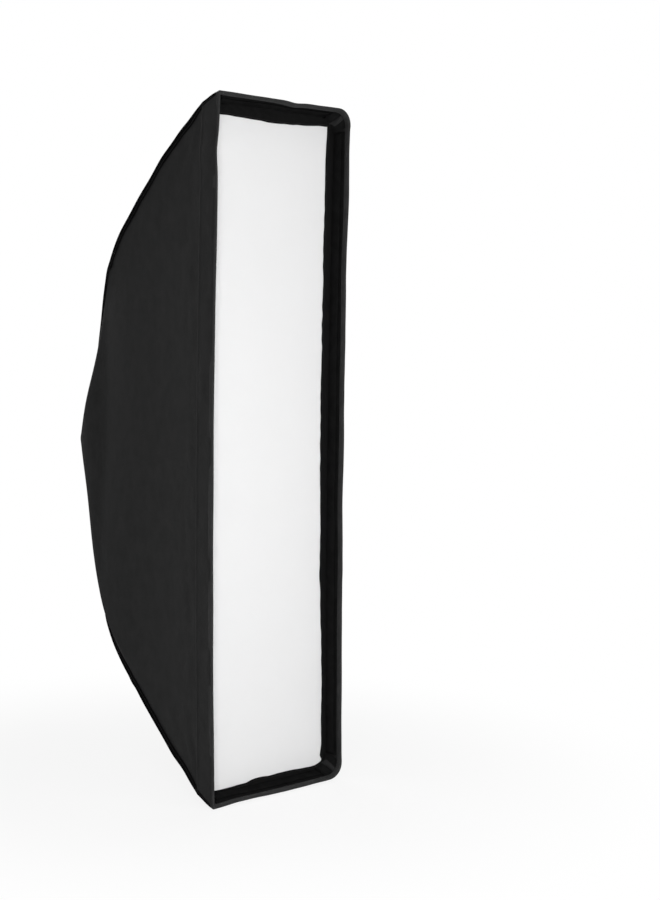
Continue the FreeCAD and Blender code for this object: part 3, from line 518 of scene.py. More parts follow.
def diffusion(name, colour, pitch):
    """White translucent cloth with a faint weave."""
    n = Finish(name, colour, 0.85, 0.15)
    where = n.coordinates("UV")
    thread = n.weave(where, pitch)
    soft = n.noise(where, 9.0, 3.0)
    value = n.math("ADD", n.spread(soft, 0.3, 0.7, 0.1, 0.8), n.spread(thread, -1, 1, -0.1, 0.2))
    base = n.tint(value, shade(colour, 0.992), shade(colour, 1.004))
    normal = n.bump(thread, 0.00006, 0.5, n.bump(n.noise(where, 14.0, 2.0), 0.0004))
    return n.finish(base, n.spread(soft, 0.3, 0.7, 0.8, 0.9), normal)


nylon = woven("black_nylon", (0.0240, 0.0240, 0.0242), 0.66, 0.03, 0.02, 0.0016)
# the hem is the lip's own nylon, painted a little lighter: painted light on its front face
hem_nylon_painted_lighter = woven("hem_nylon_painted_lighter", (0.0275, 0.0275, 0.0277), 0.60, 0.06, 0.04, 0.0016, coarse=0.02)
binding = woven("seam_binding", (0.0046, 0.0046, 0.0047), 0.90, 0.01, 0.0, 0.0012, coarse=0.012)
silver = silver_coat("silver_lining", (0.62, 0.63, 0.65))
loop = brushed_tape("loop_tape", (0.0082, 0.0082, 0.0083), 0.0011)
hook = brushed_tape("hook_tape", (0.0090, 0.0090, 0.0091), 0.0007)
border_cloth = woven("border_cloth", (0.0092, 0.0092, 0.0093), 0.90, 0.01, 0.0, 0.0012, coarse=0.012)
white_cloth = diffusion("diffusion_cloth", (0.875, 0.875, 0.877), 0.0014)
baffle_white = diffusion("baffle_cloth", (0.85, 0.855, 0.86), 0.0014)
baffle_tape = ribbed("baffle_binding_tape", (0.78, 0.785, 0.79), 0.0016)
elastic = ribbed("collar_elastic", (0.014, 0.014, 0.0145), 0.0018)
strap_elastic = ribbed("strap_elastic", (0.016, 0.016, 0.0165), 0.0016, turn=1)
webbing = ribbed("pocket_webbing", (0.013, 0.013, 0.0135), 0.002)
thread = woven("stitch_thread", (0.020, 0.020, 0.0205), 0.55, 0.08, 0.02, 0.0004, coarse=0.004,
               space="Object")
cast = hard("cast_aluminium_black", (0.018, 0.018, 0.019), 0.5, 0.4, grain=700.0, depth=0.00008,
            worn=(0.09, 0.09, 0.092))
machined = turned_metal("machined_aluminium", (0.76, 0.765, 0.78), 0.27)
zinc = hard("zinc_screws", (0.62, 0.63, 0.65), 0.3, 0.5, 1.0, grain=900.0, depth=0.00003,
            worn=(0.75, 0.75, 0.76), edge=0.0003)
plastic = hard("knob_plastic", (0.014, 0.014, 0.0145), 0.48, 0.45, grain=1100.0, depth=0.00005,
               worn=(0.035, 0.035, 0.036), edge=0.0005)
fibreglass = hard("fibreglass_rod", (0.045, 0.046, 0.048), 0.38, 0.5, grain=500.0, depth=0.00004,
                  worn=(0.06, 0.06, 0.062), edge=0.0002, brushed=(900.0, 60.0, 60.0))
steel = hard("ferrule_steel", (0.55, 0.555, 0.57), 0.28, 0.5, 1.0, grain=800.0, depth=0.00003,
             worn=(0.7, 0.7, 0.71), edge=0.0003)
rubber = hard("tip_rubber", (0.012, 0.012, 0.0122), 0.75, 0.3, grain=900.0, depth=0.0001,
              worn=(0.02, 0.02, 0.0205), edge=0.0006)
nickel = hard("snap_metal", (0.66, 0.655, 0.64), 0.22, 0.5, 1.0, grain=900.0, depth=0.00002,
              worn=(0.8, 0.8, 0.79), edge=0.0004)

CARRIED = {
    "bayonet_insert": machined, "speedring_body": cast, "socket_screws": zinc, "baffle_snaps": nickel,
    "rod_socket": cast, "lock_screw": zinc, "lock_knob": plastic, "rod_ferrule": steel, "rod_tip": rubber,
    "rod": fibreglass}


def finish_hardware():
    """New materials on the rigid CAD nodes, which keep their shape."""
    for name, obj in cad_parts.items():
        kind = max((k for k in CARRIED if name.startswith(k)), key=len, default=None)
        if kind is None:
            continue
        obj.data.materials.clear()
        obj.data.materials.append(CARRIED[kind])


# ---- the opening's shape ------------------------------------------------------------------------

def lip_half(depth):
    """Half the width and height of the sewn lip at a depth behind its front."""
    share = depth / LIP_DEPTH
    half_x = HALF_W + MOUTH_EASE * (1 - EASE_LOST * min(share, 1)) - FLARE_SIDE * share
    return half_x, HALF_H - FLARE_END * share


def hem_share(depth):
    """1 at the hem, and 0 at the lip's rear edge."""
    return 1 - min(depth / LIP_DEPTH, 1)


def corner_cut(radius):
    """How far the middle of a round corner stands in from the sharp one, along each side."""
    return radius * (1 - math.sqrt(0.5))


def edge_bow(x, z):
    """How far back the opening's long edges stand at a height; the left one is pulled back more."""
    deepest = 0.0078 - 0.0014 * np.clip(x / HALF_W, -1, 1)
    dent = 0.0038 * hump(z, 0.502, 0.026) * smooth(-x, 0.08, 0.14)
    return deepest * arch(z, HALF_H - 0.010) + dent


def end_bow(x):
    """How far back the opening's short edges stand, at a distance from the middle."""
    return 0.0015 * arch(x, HALF_W - 0.010)


def top_wave(x, depth):
    """How the upper edge rises and dips along its length."""
    return (0.0012 * hump(x, -0.05, 0.05) - 0.0022 * hump(x, 0.022, 0.018)) * hem_share(depth)


def sag(x, depth):
    """How far the lower edge hangs down at a distance from the middle and a depth from the front."""
    return SAG * arch(x, HALF_W) * hem_share(depth)


# ---- shell panels -------------------------------------------------------------------------------

def panel_grid(upright, rows, cols):
    """Outer face of the +X panel if upright, or of the +Z panel, on the CAD's ruled lines."""
    s, v = rows[:, None], cols[None, :]
    a, b = (0, 2) if upright else (2, 0)

    def points(out, y, across):
        """Points by how far out, along y and across they are."""
        parts = {a: out, 1: y, b: across}
        return np.stack(np.broadcast_arrays(parts[0], parts[1], parts[2]), -1)

    line = shade_strip(rows)[0][:, None]
    knee = shade_strip(LEG)[0]
    # behind the knee each ruling runs from the collar's arc to the knee line
    radius = math.hypot(ROOT[0], ROOT[2])
    angle = math.pi / 4 * (0.04 * v + 0.96 * np.sign(v) * np.abs(v) ** 25)
    collar = points(radius * np.cos(angle), ROOT[1], radius * np.sin(angle))
    knee_line = points(knee[a], knee[1], knee[b] * v)
    share = np.clip(s / LEG, 0, 1)[..., None]
    behind = collar * (1 - share) + knee_line * share
    return np.where(s[..., None] < LEG, behind, points(line[..., a], line[..., 1], line[..., b] * v))


# where the left corner lines stand off the right ones' shape: length along them, spread, how far out
UPPER_EASE = ((0.278, 0.016, 0.0014), (0.340, 0.070, -0.0044), (0.420, 0.040, -0.0016),
              (0.557, 0.038, 0.0025), (0.660, 0.022, -0.0017))
LOWER_EASE = ((0.290, 0.025, 0.0022), (0.380, 0.060, 0.0018), (0.438, 0.012, 0.0016), (0.655, 0.035, -0.0032))


def seam_ease(s, sx, sz):
    """How far the left corner lines stand off the right ones' shape, as offsets in x, y and z."""
    s = np.asarray(s, float)
    if sx > 0:
        return np.zeros(s.shape + (3,))
    heading = shade_strip(s)[1]
    away = unit(np.stack([-PLAN[0] * heading[..., 1], np.hypot(heading[..., 0], heading[..., 2]),
                          -PLAN[1] * heading[..., 1]], -1))
    eases = UPPER_EASE if sz > 0 else LOWER_EASE
    off = away * sum(height * hump(s, middle, spread) for middle, spread, height in eases)[..., None]
    off[..., 2] -= 0.0040 * smooth(s, SEAM_LENGTH - 0.10, SEAM_LENGTH)
    return off * np.array([sx, 1, sz])


def near_pull(x, z, depth):
    """How far the left corners are drawn up or down, as an offset in z, at a depth behind the hem."""
    high = smooth(np.abs(z), HALF_H - 0.09, HALF_H - 0.015)
    hem = hem_share(depth)
    front = np.where(z > 0, 0.0014 * smooth(-x, 0.02, HALF_W), 0.0036 * smooth(-x, 0.09, HALF_W))
    return np.sign(z) * high * (front * hem - 0.0040 * (1 - hem) * smooth(-x, 0.02, HALF_W))


def panel_relief(upright, side, s, v, wide):
    """How far a panel's cloth stands out of its smooth surface, s along the corner lines, at a share v
    of the way from the middle to the edge, and wide across."""
    edge = 1 - np.abs(v) ** 2
    seed = (3 if upright else 7) + (side > 0)
    # the cloth hangs in between the bowed rods, and is pulled flat near the ring and the lip
    slack = 0.0055 if upright else 0.0022
    out = -slack * edge * smooth(s, LEG * 0.5, LEG) * (1 - smooth(s, 0.50, SEAM_LENGTH))
    out += 0.0008 * ripples(s / SEAM_LENGTH * 0.7, wide, 0.22, seed, 8) * smooth(edge, 0.0, 0.5)
    # creases that fan out of the front corners
    for sign in (-1, 1):
        behind, aside = SEAM_LENGTH - s, wide - sign * TIP[2 if upright else 0]
        reach = np.hypot(behind, aside)
        turn = np.arctan2(np.abs(aside), behind + 1e-6)
        fan = np.sin(turn * (15 if upright else 9) + 0.6 * sign + seed)
        out += 0.0021 * fan * np.exp(-reach / 0.085) * smooth(reach, 0.0, 0.03) * smooth(edge, 0.0, 0.10)
    # soft waves where the panel meets the lip
    near_lip = smooth(s, SEAM_LENGTH - 0.10, SEAM_LENGTH - 0.01)
    out += 0.0007 * near_lip * ripples(wide * 0.8, s * 2.5, 0.055, seed + 20) * smooth(edge, 0.0, 0.15)
    if upright:
        # slack cloth stands out between the ring and the shoulders, most of all low on the left
        above = 0.0056 * hump(s, 0.074, 0.078) * hump(wide, 0.047, 0.107)
        below = 0.0142 * hump(s, 0.182, 0.224) * hump(wide, -0.238, 0.216)
        out += (above + below) * smooth(1 - np.abs(v), 0.0, 0.04) * (1.0 if side < 0 else 0.4)
    return out


def relax(grid, rounds):
    """Takes the creases out of a grid of points, as cloth pulled between its four edges."""
    for _ in range(rounds):
        near = grid[:-2, 1:-1] + grid[2:, 1:-1] + grid[1:-1, :-2] + grid[1:-1, 2:]
        grid[1:-1, 1:-1] += 0.95 * (near / 4 - grid[1:-1, 1:-1])
    return grid


def panel_shape(upright, side, inset, trim, fine):
    """One shell panel as pulled cloth: side is +1 or -1, inset moves it into the shell, trim is what
    it stops short of the corner lines, and fine is the density of its grid."""
    rows = seam_rows(int(26 * fine), int(20 * fine), int(34 * fine))
    cols = crowded(int((84 if upright else 44) * fine) + 1, 0.43 * math.pi)
    grid = panel_grid(upright, rows, cols)
    a, b = (0, 2) if upright else (2, 0)
    for end in (-1, 1):
        off = seam_ease(rows, *((side, end) if upright else (end, side)))
        off[:, a] *= side
        grid += off[:, None] * ((1 + end * cols) / 2)[None, :, None]
    grid = relax(grid, int(40 * fine ** 2))
    grid[..., b] *= 1 - trim / np.abs(grid[:, -1:, b])
    s, wide = rows[:, None], grid[..., b]
    normal = grid_normals(grid)
    normal *= np.sign(normal[..., a].mean())
    grid = grid + normal * (panel_relief(upright, side, s, cols[None, :], wide) - inset)[..., None]
    bow = edge_bow(side * HALF_W, wide) if upright else end_bow(wide)
    grid[..., 1] += bow * smooth(s, SEAM_LENGTH - BOW_REACH, SEAM_LENGTH)
    grid[..., a] *= side
    return grid


def shell_layer(kind, wall, inset, trim, fine, thickness, material):
    """One wall's outer cloth or lining, in place of its CAD node."""
    label, upright, side = wall
    shape = panel_shape(upright, side, inset, trim, fine)
    inward = (-side, 0, 0) if upright else (0, 0, -side)
    piece = cloth(f"{label}_{kind}_cloth", shape, thickness, inward)
    return dress(piece, "softbox", material, [f"{label}_{kind}"])


def panel_cut(upright):
    """Flat size and area of a shell panel's cut. It is ruled across between two corner lines, so it
    unrolls to its length along the middle, with a seam allowance on every edge."""
    line, _ = shade_strip(seam_rows(60, 60, 60))
    out, across = (0, 2) if upright else (2, 0)
    steps = np.hypot(np.diff(line[:, out]), np.diff(line[:, 1]))
    half = line[:, across]
    area = (steps * (half[1:] + half[:-1])).sum()
    edge = 2 * (SEAM_LENGTH + half[0] + half[-1])
    flat = (float(steps.sum() + 2 * SEAM_ALLOWANCE), float(2 * (half[-1] + SEAM_ALLOWANCE)))
    return flat, float(area + SEAM_ALLOWANCE * edge)


def make_panels():
    """The four panels and their linings. The side ones lie one layer under the end ones."""
    skin, inner = CLOTH + GAP, LINING + GAP
    for wall in WALLS:
        _, upright, side = wall
        outer, trim, depth = (skin, 0.0006, 2 * skin + inner) if upright else (0.0, 0.0, 2 * skin)
        panel = shell_layer("panel", wall, outer, trim, 1.0, PANEL_CLOTH, nylon)
        lining = shell_layer("lining", wall, depth, 0.0045, 0.8, LINING_CLOTH, silver)
        flat, area = panel_cut(upright)


# ---- lip, hem and tapes ----------------------------------------------------------------------

def corner_loop(half_x, half_z, right, left, long_steps, short_steps, arc=7):
    """Points and outward directions round an opening, counterclockwise from its upper right corner,
    with one radius for its right corners and one for its left ones."""
    quads = ((1, 1, 0), (-1, 1, 90), (-1, -1, 180), (1, -1, 270))

    def on_arc(sx, sz, start, turn):
        """A point of one corner's arc, turn degrees into it, and the direction out of it."""
        radius = right if sx > 0 else left
        angle = math.radians(start + turn)
        out = np.array([math.cos(angle), math.sin(angle)])
        return np.array([sx * (half_x - radius), sz * (half_z - radius)]) + radius * out, out

    points, outs = [], []
    for quad, following in zip(quads, quads[1:] + quads[:1]):
        for k in range(arc + 1):
            point, out = on_arc(*quad, 90 * k / arc)
            points.append(point)
            outs.append(out)
        begin, end = points[-1], on_arc(*following, 0)[0]
        steps = short_steps if following[1] == quad[1] else long_steps
        for k in range(1, steps):
            points.append(begin + (end - begin) * k / steps)
            outs.append(outs[-1])
    return np.array(points), np.array(outs)


def around_opening(depth):
    """A loop of points round the lip at a depth from the front, with the edges' own bow and sag, and
    the way out at each point."""
    half_x, half_z = lip_half(depth)
    right = far_radius(depth)
    points, outs = corner_loop(half_x, half_z, right, NEAR_RADIUS, 160, 44)
    x, z = points[:, 0], points[:, 1]
    on_side = smooth(np.abs(x) - (half_x - right * 1.2), 0.0, right)
    back = edge_bow(x, z) * on_side + end_bow(x) * (1 - on_side)
    z = z - sag(x, depth) * (z < 0) * (1 - on_side) + near_pull(x, z, depth)
    z = z + top_wave(x, depth) * (z > 0) * (1 - on_side)
    return np.stack([x, FRONT + depth + back, z], -1), np.insert(outs, 1, 0.0, axis=1)


def far_radius(depth):
    """Radius of the lip's right corners at a depth: the cloth cuts across them over the diffuser's edge."""
    share = depth / LIP_DEPTH
    return FAR_RADIUS + 0.004 * smooth(share, 0.1, 0.62) - 0.0265 * smooth(share, 0.70, 1.0)


def lip_wander(points, seed, size, slant=0.0):
    """Small outward waves along the lip's cloth; slant moves them on, for a second direction."""
    around = lengths(points)
    return ripples(around + slant, np.full_like(around, seed * 0.37 + slant), size, seed)


def wall_lean(outs):
    """How far the lip's walls lean in for each metre back, by the way that they face."""
    lean = np.abs(outs[:, 0]) * (FLARE_SIDE + MOUTH_EASE * EASE_LOST) + np.abs(outs[:, 2]) * FLARE_END
    return lean / LIP_DEPTH


def make_hem():
    """The lip's edge folded in and stitched, a soft flat roll."""
    path, outs = around_opening(0.0)
    wobble = 0.0006 * lip_wander(path, 13, 0.10) + 0.0002 * lip_wander(path, 14, 0.03)
    fold = np.array([(0.0002, 0.0092)] + rounded_profile((-0.0048, 0.0), (0.0003, 0.0090), 0.0019, 4)[5:])
    profile = np.repeat(fold[None], len(path), axis=0)
    profile[..., 0] -= profile[..., 1] * wall_lean(outs)[:, None]
    profile[..., 0] += wobble[:, None] * (profile[..., 0] > -0.002)
    profile[..., 1] += (0.0006 * lip_wander(path, 17, 0.12))[:, None]
    hem = swept("front_hem_roll", path, outs, BACKWARD, profile, around=True)
    return dress(hem, "softbox", hem_nylon_painted_lighter, ["front_hem"])


def corner_share(points):
    """1 at the opening's corners, 0 along its sides."""
    gap = np.hypot(np.abs(points[:, 0]) - HALF_W, np.abs(points[:, 2]) - HALF_H)
    return 1 - smooth(gap, 0.01, 0.07)


def make_lip():
    """The cloth lip round the opening, with its hem and the folds in its right corners."""
    rows = []
    for depth in np.concatenate([np.linspace(0.0030, 0.044, 18), [0.0475, 0.0505, 0.0530]]):
        points, outs = around_opening(depth)
        between_edges = math.sin(math.pi * min(depth / LIP_DEPTH, 1))
        wave = 0.0009 * lip_wander(points, 5, 0.11) + 0.0006 * lip_wander(points, 9, 0.045, depth * 1.6)
        wave = np.maximum((wave + 0.0004) * between_edges, -0.0003)
        wave *= 1 - 0.9 * corner_share(points) * smooth(-points[:, 0], 0.10, 0.13)
        # the right corners fold in on themselves, where the tapes inside stop short of them
        far = corner_share(points) * smooth(points[:, 0], 0.10, 0.13)
        tuck = 0.0018 * far * between_edges * np.abs(outs[:, 0] * outs[:, 2]) * 2
        # its rear edge is felled over the panels and turns in under them
        rise = 0.0007 * smooth(depth, 0.043, 0.046) - 0.0035 * smooth(depth, 0.0490, 0.0530)
        rows.append(points + outs * (wave - tuck + rise)[:, None])
    grid = np.array(rows)
    lip = cloth("front_lip_cloth", grid, LIP_CLOTH, grid * TOWARDS_AXIS, around=True)
    dress(lip, "softbox", nylon, ["front_lip"])
    hem = make_hem()
    make_corner_folds()


def corner_fold(name, sz, half, height, offset, tilt, taper):
    """A soft ridge running in from one right corner, along the lip's corner seam, and bent with it."""
    t = np.linspace(0, 1, 22)
    depth = 0.0075 + 0.0250 * t
    path = np.zeros((len(t), 3))
    for i, d in enumerate(depth):
        half_x, half_z = lip_half(d)
        cut = corner_cut(far_radius(d)) + 0.0010 + 0.0062 * smooth(t[i], 0.0, 0.9)
        path[i] = half_x - cut, FRONT + d + edge_bow(HALF_W, 0.95 * HALF_H), sz * (half_z - cut)
    sides, ups = frames_along(path, unit(np.array([-1.0, 0.0, -float(sz)])))
    sides *= np.sign(sides[:, :1])
    path = path + ups * offset * np.sin(math.pi * np.minimum(t + 0.1, 1))[:, None]
    path += sides * (tilt * t)[:, None]
    profile = []
    angle = np.linspace(0, math.pi, 13)
    for share, d in zip(t, depth):
        wide = half * (1 - taper + taper * share)
        tall = height * math.sin(math.pi * min(share * 1.1 + 0.05, 1))
        radius = far_radius(d) - 0.0060
        dome = np.stack([wide * np.cos(angle), tall * np.sin(angle) ** 1.6], -1)
        under = np.stack([np.linspace(-wide * 0.8, wide * 0.8, 5), np.full(5, -0.0010)], -1)
        around = np.concatenate([dome, under])
        around[:, 1] += radius - np.sqrt(radius ** 2 - around[:, 0] ** 2)
        profile.append(around)
    return swept(name, path, sides, ups, np.array(profile))


def make_corner_folds():
    """The lip's spare cloth at each right corner, between the hem and the diffuser: a wide dark strip, painted
    shade for the hollow by the pleat and the tapes' dark carried into the corner, and a narrow pleat standing
    on it."""
    # a wide dark strip on each right corner: painted shade for the hollows on either side of the pleat
    shade_strips = [corner_fold(f"seam_{sz}", sz, 0.0182, 0.0020, 0.0, 0.0, 0.06) for sz in (1, -1)]
    dress(join("lip_corner_painted_shade", shade_strips), "softbox", border_cloth)
    pleats = [corner_fold(f"pleat_{sz}", sz, 0.0055, 0.0040, 0.0018, 0.0034, 0.25) for sz in (1, -1)]
    return dress(join("lip_corner_folds", pleats), "softbox", nylon)


def band_on_wall(name, wall, depth, width, inset, thick, trims, seed, wave=0.0006):
    """A flat tape on the inside of one wall of the lip. The trims are what it stops short of at its
    low and high end."""
    _, upright, side = wall
    length = HALF_H if upright else HALF_W
    t = np.linspace(trims[0] - length, length - trims[1], 150 if upright else 44)
    mid = depth + width / 2
    flare = FLARE_SIDE + MOUTH_EASE * EASE_LOST if upright else FLARE_END
    reach = HALF_W + MOUTH_EASE if upright else HALF_H
    lean = flare / LIP_DEPTH
    base = side * (reach - lean * mid - inset)
    if upright:
        path = np.stack([np.full_like(t, base), FRONT + mid + edge_bow(side * HALF_W, t), t], -1)
        out, pull = np.array([side, 0.0, 0.0]), 0 * t
    else:
        edge_z = np.full_like(t, side * HALF_H)
        rise = top_wave(t, mid) if side > 0 else -sag(t, mid)
        path = np.stack([t, FRONT + mid + end_bow(t), base + rise + near_pull(t, edge_z, mid)], -1)
        out = np.array([0.0, 0.0, side])
        pull = (near_pull(t, edge_z, depth + width) - near_pull(t, edge_z, depth)) / width
    backs = unit(BACKWARD - out * lean + np.array([0.0, 0.0, 1.0]) * pull[:, None])
    ups = unit(out + BACKWARD * (lean - side * pull)[:, None])
    flat = rounded_profile((-thick, -width / 2), (0.0, width / 2), thick * 0.4, 2)
    profile = np.repeat(np.array(flat)[None], len(t), axis=0)
    wander = wave * ripples(t, np.full_like(t, seed), 0.05, seed)
    edge = np.sign(profile[..., 1]) * (np.abs(profile[..., 1]) > width * 0.3)
    profile[..., 1] += edge * wander[:, None]
    return swept(name, path, ups, backs, profile)


def make_tapes():
    """Loop tape sewn inside the lip's four walls."""
    for wall in WALLS:
        label, upright, side = wall
        trims = (0.038, 0.038) if upright else (0.014, 0.030)
        tape = band_on_wall(f"loop_tape_{label}_band", wall, LOOP_FRONT, LOOP_WIDTH, LOOP_INSET, LOOP_THICK,
                            trims, 31 + side, 0.0004)
        dress(tape, "softbox", loop, [f"loop_tape_{label}"])


# ---- front diffuser --------------------------------------------------------------------------

def diffuser_half(inset):
    """Half the width and height of a line at the diffuser's depth, inset from the lip's outer face."""
    half_x, half_z = lip_half(DIFFUSER_DEPTH)
    return half_x - inset, half_z - inset


def diffuser_edge(inset, right, left, waves=None):
    """A loop inside the lip at the diffuser's depth."""
    points, outs = corner_loop(*diffuser_half(DIFFUSER_INSET + inset), right, left, 170, 46, 9)
    return points + outs * waves(points)[:, None] if waves else points


def diffuser_panel():
    """White cloth, a soft sheet that follows the lip's bow."""
    half_x, half_z = diffuser_half(WHITE_INSET)
    x = np.linspace(-half_x, half_x, 34)[None, :]
    z = half_z * crowded(130, 1.5)[:, None]
    cut = WHITE_RADIUS - np.sqrt(WHITE_RADIUS ** 2 - np.maximum(np.abs(z) - half_z + WHITE_RADIUS, 0) ** 2)
    grid = np.zeros((130, 34, 3))
    grid[..., 0], grid[..., 2] = x - cut * (x + half_x) / (2 * half_x), z
    middle = arch(x, half_x) * arch(z, half_z)
    soft = 0.0004 * ripples(x + 0 * z, z * 0.5, 0.12, 51) * middle
    grid[..., 1] = FRONT + DIFFUSER_DEPTH + edge_bow(grid[..., 0], grid[..., 2]) + 0.0016 * middle + soft
    panel = cloth("diffuser_cloth", grid, WHITE_CLOTH, BACKWARD)
    return dress(panel, "front_diffuser", white_cloth, ["diffuser_panel"])


def diffuser_border():
    """Black border with an uneven inner edge."""
    rows = []
    for t in np.linspace(0, 1, 7):
        points = diffuser_edge(0.0002 + 0.0158 * t, 0.0285 - 0.0270 * t, 0.005 - 0.0035 * t,
                               lambda p, t=t: border_waves(p) * t ** 2)
        y = FRONT + DIFFUSER_DEPTH - 0.0013 + edge_bow(points[:, 0], points[:, 1])
        lift = 0.0003 * ripples(points[:, 0], points[:, 1], 0.02, 61) * t
        rows.append(np.stack([points[:, 0], y + lift, points[:, 1]], -1))
    border = cloth("diffuser_border_cloth", np.array(rows), BORDER_CLOTH, BACKWARD, around=True)
    return dress(border, "front_diffuser", border_cloth, ["diffuser_border"])


def diffuser_tape():
    """Hook tape standing on the border along the lip's walls."""
    strips = []
    for wall in WALLS:
        label, upright, side = wall
        trims = (0.042, 0.042) if upright else (0.018, 0.034)
        inset = LOOP_INSET + LOOP_THICK + 0.0010
        strips.append(band_on_wall(f"hook_{label}", wall, 0.0145, 0.0191, inset, 0.0011, trims, 71 + side))
    tape = join("diffuser_hook_band", strips)
    return dress(tape, "front_diffuser", hook, ["diffuser_hook_tape"])


def border_waves(points):
    """The uneven inner edge of the black border: how far it wanders outwards."""
    x, z = points[:, 0], points[:, 1]
    wander = 0.0008 * ripples(x, z, 0.060, 41) + 0.0005 * ripples(x, z, 0.018, 42)
    top = smooth(z, HALF_H - 0.06, HALF_H - 0.03)
    bottom = smooth(-z, HALF_H - 0.036, HALF_H - 0.029) * smooth(x, -0.135, -0.117)
    bottom *= 1 - 0.6 * smooth(x, 0.116, 0.131)
    wander -= top * (0.0042 + 0.0033 * np.exp(-((x + 0.005) / 0.055) ** 2) - 0.0020 * smooth(x, 0.08, 0.11))
    wander += bottom * (0.0050 + 0.0070 * smooth(-x, 0.015, 0.075) + 0.0015 * smooth(x, -0.02, 0.03))
    low = smooth(-z, HALF_H - 0.036, HALF_H - 0.029)
    right = smooth(x, HALF_W - 0.05, HALF_W - 0.03) * (1 - top) * (1 - low)
    wander -= right * (0.0035 * smooth(z, -0.25, 0.10) - 0.0035 * smooth(-z, 0.30, 0.36))
    wander -= right * 0.0050 * smooth(-z, 0.540, 0.568)
    return wander


def make_diffuser():
    """The front diffuser: white cloth, its black border and the hook tape that holds it in the lip."""
    panel = diffuser_panel()
    border = diffuser_border()
    tape = diffuser_tape()


# ---- stitching ---------------------------------------------------------------------------------

def stitch_points(path, ups, pitch=0.0042, length=0.0030, width=0.00042, height=0.00030):
    """Points and faces of a row of stitches: small spindles laid along a path, standing on its surface."""
    along = lengths(path)
    points, faces = [], []
    ring = ((1, 0), (0.5, 0.8), (-0.5, 0.8), (-1, 0), (0, -0.9))
    stations = ((-0.5, 0.35), (-0.25, 1.0), (0.25, 1.0), (0.5, 0.35))
    for m in np.arange(pitch, along[-1] - pitch, pitch):
        at = [np.interp(m + length * place, along, path[:, i]) for place, _ in stations for i in range(3)]
        at = np.array(at).reshape(-1, 3)
        up = unit(np.array([np.interp(m, along, ups[:, i]) for i in range(3)]))
        side = np.cross(unit(at[-1] - at[0]), up)
        first = len(points)
        for centre, (_, size) in zip(at, stations):
            for across, rise in ring:
                points.append(centre + side * (across * width * size) + up * (rise * height * size))
        for k in range(3):
            for j in range(5):
                a, b = first + 5 * k + j, first + 5 * k + (j + 1) % 5
                faces.append((a, b, b + 5, a + 5))
        faces.append(tuple(first + j for j in reversed(range(5))))
        faces.append(tuple(first + 15 + j for j in range(5)))
    return points, faces


def sew(name, body, rows):
    """Several rows of stitches as one piece."""
    points, faces = [], []
    for path, ups in rows:
        more, ring = stitch_points(path, ups)
        faces += [tuple(i + len(points) for i in f) for f in ring]
        points += more
    dress(add_object(name, points, faces, sharp=0), body, thread)


def lip_row(depth, offset):
    """A closed line round the lip at a depth, standing off its outer face."""
    points, outs = around_opening(depth)
    return closed(points + outs * offset), closed(outs)


def make_stitching(seam_lines):
    """Stitches round the lip and its hem, along the corner lines' bindings and round the diffuser's border."""
    path, outs = around_opening(0.0)
    back = 0.0070
    inner = path + BACKWARD * back - outs * (0.0050 + back * wall_lean(outs))[:, None]
    rows = [lip_row(0.0072, 0.0006), lip_row(0.0450, 0.0010), (closed(inner), -closed(outs))]
    sew("shell_stitching", "softbox", rows + seam_lines)

    edge = diffuser_edge(0.0132, 0.0060, 0.0025, border_waves)
    y = FRONT + DIFFUSER_DEPTH - 0.0015 + edge_bow(edge[:, 0], edge[:, 1])
    path = closed(np.stack([edge[:, 0], y, edge[:, 1]], -1))
    sew("diffuser_stitching", "front_diffuser", [(path, np.broadcast_to(-BACKWARD, path.shape))])


# ---- corner seams -------------------------------------------------------------------------------

def corner_path(s, sx, sz):
    """A corner line at lengths s along the shell, carried on along the lip's corner to the hem."""
    flip = np.array([sx, 1, sz])
    path = shade_strip(s)[0] * flip + seam_ease(s, sx, sz)
    path[:, 1] += edge_bow(sx * HALF_W, path[:, 2]) * smooth(s, SEAM_LENGTH - BOW_REACH, SEAM_LENGTH)
    lip = []
    for depth in np.linspace(0.046, 0.0095, LIP_STEPS):
        half_x, half_z = lip_half(depth)
        raised = 0.0002 + 0.0008 * smooth(depth, 0.009, 0.022)
        shrink = corner_cut(far_radius(depth) if sx > 0 else NEAR_RADIUS) - raised
        drawn = sz * near_pull(np.array(sx * HALF_W), np.array(sz * HALF_H), depth)
        lip.append((half_x - shrink, FRONT + depth, half_z - shrink + drawn))
    return np.concatenate([path[:-1], np.array(lip) * flip])


def binding_profile(w, r):
    """A bead of radius r on the corner line, and a flat leg w wide on the side panel."""
    turns = np.radians(np.arange(40, 286, 35))
    bead = [(-r * 0.6 + r * math.cos(a), r * math.sin(a) + 0.4 * r) for a in turns]
    leg = [(0.0010, -0.0004), (w - 0.0004, -0.0003), (w, 0.0000), (w - 0.0002, 0.0006), (w - 0.0010, 0.0009),
           (0.0016, 0.0010)]
    return bead + leg


